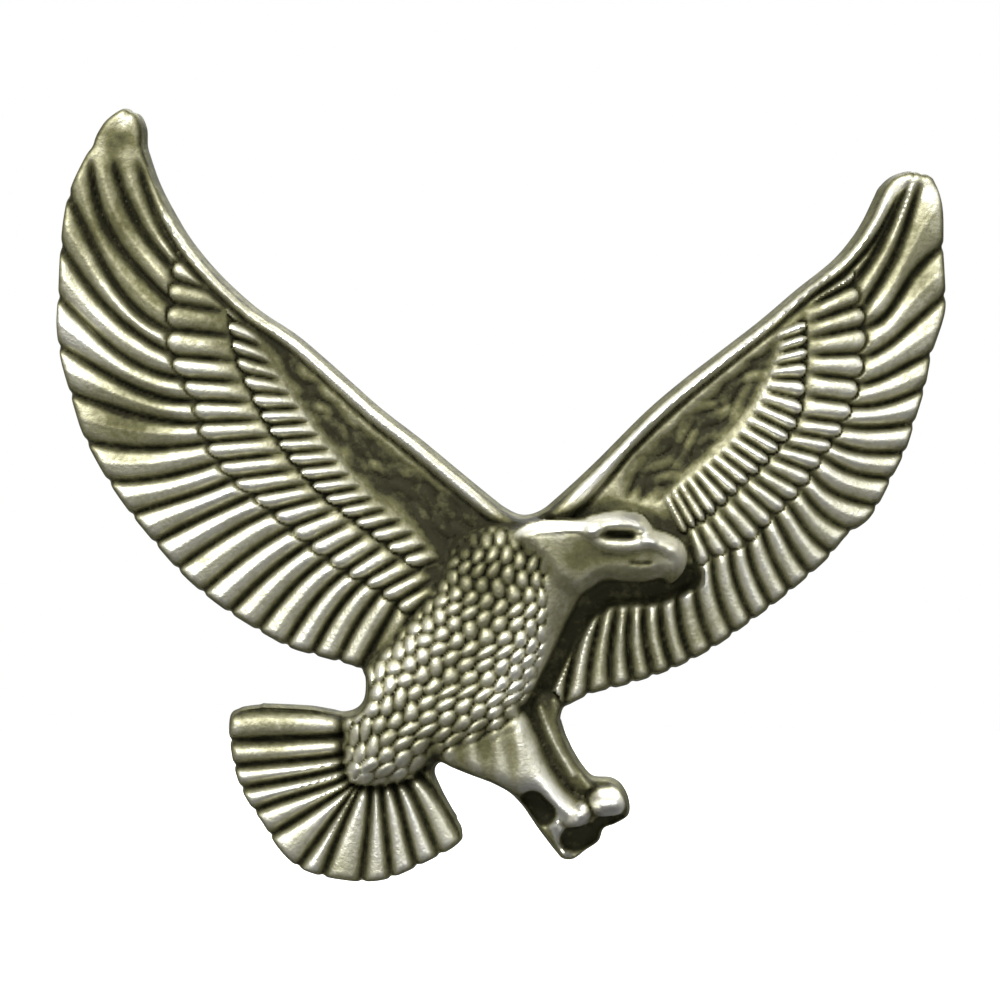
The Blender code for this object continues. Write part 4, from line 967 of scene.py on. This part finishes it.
def pewter():
    """Cast metal darkened in its recesses and rubbed bright on its high points, with the painted light and
    shade of the relief's tone laid on top.
    """
    material, tree, shader, coordinates = new_material("antiqued_pewter")
    tone = tree.nodes.new("ShaderNodeAttribute")
    tone.attribute_name = "relief_tone"
    blotches = tree.noise(coordinates, scale=900, detail=4)
    speckle = tree.noise(coordinates, scale=2800, detail=2)
    grain = tree.noise(coordinates, scale=5200, detail=3)
    mixed = tree.math("MULTIPLY_ADD", tone.outputs["Fac"], 0.5, 0.5)
    mixed = tree.math("ADD", mixed, tree.math("MULTIPLY_ADD", blotches, 0.4, -0.2))
    mixed = tree.math("ADD", mixed, tree.math("MULTIPLY_ADD", speckle, 0.3, -0.15))
    tree.ramp(mixed, shader["Base Color"], (
        (0.0, (0.021, 0.02, 0.009)),
        (0.25, (0.11, 0.107, 0.05)),
        (0.5, (0.33, 0.32, 0.21)),
        (0.72, (0.62, 0.61, 0.48)),
        (1.0, (0.93, 0.92, 0.84)),
    ))
    tree.ramp(mixed, shader["Roughness"], ((0.0, 0.72), (0.5, 0.6), (1.0, 0.42)))
    tree.ramp(mixed, shader["Metallic"], ((0.0, 0.3), (0.45, 0.95), (1.0, 1.0)))
    shader["Specular IOR Level"].default_value = 0.15
    surface = tree.math("ADD", blotches, grain)
    tree.bump(surface, shader["Normal"], strength=0.5, distance=0.00008)
    return material


def plated(name, colour, roughness, scratch):
    """Bare or plated metal with fine drawing marks and a little tarnish."""
    material, tree, shader, coordinates = new_material(name)
    stretch = tree.nodes.new("ShaderNodeMapping")
    stretch.inputs["Scale"].default_value = (1, 0.12, 1)
    tree.link(coordinates, stretch.inputs["Vector"])
    marks = tree.noise(stretch.outputs["Vector"], scale=scratch, detail=3)
    tree.ramp(tree.noise(coordinates, scale=700, detail=4), shader["Base Color"], (
        (0.3, tuple(0.62 * c for c in colour)),
        (0.55, colour),
        (0.8, tuple(min(1.0, 1.12 * c) for c in colour)),
    ))
    tree.ramp(marks, shader["Roughness"], ((0.3, roughness * 1.5), (0.7, roughness * 0.8)))
    shader["Metallic"].default_value = 1.0
    tree.bump(marks, shader["Normal"], strength=0.1, distance=0.00002)
    return material


def shown(name, data):
    """A new object in the scene."""
    obj = bpy.data.objects.new(name, data)
    bpy.context.scene.collection.objects.link(obj)
    return obj


def add_casting():
    """The relief, in place of the CAD casting."""
    verts, faces, tones = casting_mesh()
    data = bpy.data.meshes.new("eagle_relief")
    data.from_pydata([tuple(v) for v in verts], [], [tuple(int(k) for k in f) for f in faces])
    data.validate()
    data.update()
    attribute = data.attributes.new("relief_tone", "FLOAT", "POINT")
    attribute.data.foreach_set("value", tones.astype(np.float32))
    shell = bmesh.new()
    shell.from_mesh(data)
    bmesh.ops.recalc_face_normals(shell, faces=shell.faces)
    shell.to_mesh(data)
    shell.free()
    # Setting the sharp edges clears the flat faces, so the flat back is marked after it.
    data.set_sharp_from_angle(angle=SMOOTH_UNDER)
    for polygon in data.polygons:
        polygon.use_smooth = polygon.normal.y < 0.99
    obj = shown("eagle_relief", data)
    data.materials.append(pewter())
    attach(obj, "badge")
    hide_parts("eagle_casting")


def add_springs(metal):
    """Each clutch's ring spring as two halves."""
    for side in ("left", "right"):
        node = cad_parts[f"clutch_spring_{side}"]
        shape = bmesh.new()
        shape.from_mesh(node.data)
        shape.transform(node.matrix_world)
        bmesh.ops.remove_doubles(shape, verts=shape.verts, dist=SPRING_WELD * MM)
        spread = [v.co.x for v in shape.verts]
        middle = Vector(((min(spread) + max(spread)) / 2, 0, 0))
        for end in ("outer", "inner"):
            outward = Vector((1, 0, 0)) if (side == "right") == (end == "outer") else Vector((-1, 0, 0))
            half = shape.copy()
            bmesh.ops.bisect_plane(
                half, geom=half.verts[:] + half.edges[:] + half.faces[:], dist=SPRING_WELD * MM,
                plane_co=middle, plane_no=outward, clear_inner=True,
            )
            bmesh.ops.edgeloop_fill(half, edges=[e for e in half.edges if e.is_boundary])
            bmesh.ops.recalc_face_normals(half, faces=half.faces)
            data = bpy.data.meshes.new(f"spring_half_{end}_{side}")
            half.to_mesh(data)
            half.free()
            data.shade_smooth()
            data.set_sharp_from_angle(angle=SMOOTH_UNDER)
            data.materials.append(metal)
            obj = shown(data.name, data)
            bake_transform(obj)
            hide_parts(node.name)
        shape.free()


def dress_fittings():
    """Gives every carried-over CAD node its own procedural metal."""
    metals = {
        "post": plated("post_steel_drawn", (0.62, 0.62, 0.6), 0.3, 2600),
        "solder": plated("solder_dull", (0.45, 0.45, 0.43), 0.5, 2200),
        "clutch_shell": plated("nickel_shell_pressed", (0.72, 0.7, 0.64), 0.24, 1900),
        "clutch_base": plated("nickel_plate_pressed", (0.66, 0.64, 0.58), 0.3, 1900),
        "clutch_wing": plated("nickel_wing_pressed", (0.7, 0.68, 0.62), 0.27, 1900),
    }
    add_springs(plated("spring_wire_drawn", (0.5, 0.49, 0.45), 0.33, 2600))
    for name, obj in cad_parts.items():
        for start, metal in metals.items():
            if name.startswith(start):
                obj.data.materials.clear()
                obj.data.materials.append(metal)


def add_light(name, offset, size, power):
    """A rectangular light aimed at the badge from this far off its middle."""
    data = bpy.data.lights.new(name, "AREA")
    data.shape = "RECTANGLE"
    data.size, data.size_y = size
    data.energy = power
    obj = shown(name, data)
    obj.location = CAD_MIDDLE + offset
    aim = Vector(CAD_MIDDLE) - Vector(CAD_MIDDLE + offset)
    obj.rotation_euler = aim.to_track_quat("-Z", "Y").to_euler()


def add_stage():
    """A pale round floor below the badge, in rings of faces."""
    verts, faces = [(0.0, 0.0, 0.0)], []
    for r in range(1, FLOOR_RINGS + 1):
        for k in range(FLOOR_SPOKES):
            angle = 2 * math.pi * k / FLOOR_SPOKES
            radius = FLOOR_RADIUS * r / FLOOR_RINGS
            verts.append((radius * math.cos(angle), radius * math.sin(angle), 0.0))
    faces += [(0, 1 + k, 1 + (k + 1) % FLOOR_SPOKES) for k in range(FLOOR_SPOKES)]
    for r in range(FLOOR_RINGS - 1):
        a = 1 + r * FLOOR_SPOKES
        for k in range(FLOOR_SPOKES):
            n = (k + 1) % FLOOR_SPOKES
            faces.append((a + k, a + FLOOR_SPOKES + k, a + FLOOR_SPOKES + n, a + n))
    data = bpy.data.meshes.new("floor")
    data.from_pydata(verts, [], faces)
    floor = shown("floor", data)
    floor.location = (CAD_MIDDLE[0], CAD_MIDDLE[1], CAD_LOW[2] - FLOOR_DROP)
    floor.visible_glossy = False
    material, tree, shader, coordinates = new_material("pale_floor")
    tree.ramp(tree.noise(coordinates, scale=60, detail=2), shader["Base Color"], ((0.3, 0.86), (0.7, 0.9)))
    shader["Roughness"].default_value = 0.9
    data.materials.append(material)


def add_world():
    """White to the eye. To the metal, bright overhead and dark below, as in a light tent."""
    world = bpy.data.worlds.new("studio")
    bpy.context.scene.world = world
    world.use_nodes = True
    tree = Tree(world.node_tree)
    split = tree.nodes.new("ShaderNodeSeparateXYZ")
    tree.link(tree.nodes.new("ShaderNodeTexCoord").outputs["Generated"], split.inputs[0])
    rise = tree.math("MULTIPLY_ADD", split.outputs["Z"], 0.5, 0.5)
    mix = tree.nodes.new("ShaderNodeMix")
    mix.data_type = "RGBA"
    tree.link(tree.nodes.new("ShaderNodeLightPath").outputs["Is Camera Ray"], mix.inputs["Factor"])
    tree.ramp(rise, mix.inputs["A"], ((0.0, 0.1), (0.42, 0.22), (0.6, 0.6), (1.0, 1.1)))
    mix.inputs["B"].default_value = (1, 1, 1, 1)
    tree.link(mix.outputs["Result"], tree.nodes["Background"].inputs["Color"])


def add_camera():
    """Square on to the front, as in the photograph."""
    data = bpy.data.cameras.new("camera")
    camera = shown("camera", data)
    data.lens = LENS
    data.sensor_width = SENSOR_WIDTH
    camera.location = (
        CAD_MIDDLE[0] + AIM_OFFSET[0] * MM,
        -FRAME_WIDTH * MM * LENS / SENSOR_WIDTH,
        CAD_MIDDLE[2] + AIM_OFFSET[1] * MM,
    )
    camera.rotation_euler = (math.pi / 2, 0, 0)
    data.clip_start = 0.01
    data.clip_end = 10
    bpy.context.scene.camera = camera


def add_lights():
    """Places and sizes in metres, powers in watts."""
    add_light("key", (-0.16, -0.34, 0.3), size=(0.28, 0.2), power=3.4)
    add_light("fill", (0.3, -0.3, 0.12), size=(0.16, 0.3), power=0.3)
    add_light("back", (0.1, 0.35, 0.3), size=(0.3, 0.2), power=2.4)


bpy.context.scene.view_settings.view_transform = "Standard"
add_camera()
add_casting()
dress_fittings()
add_world()
add_lights()
add_stage()
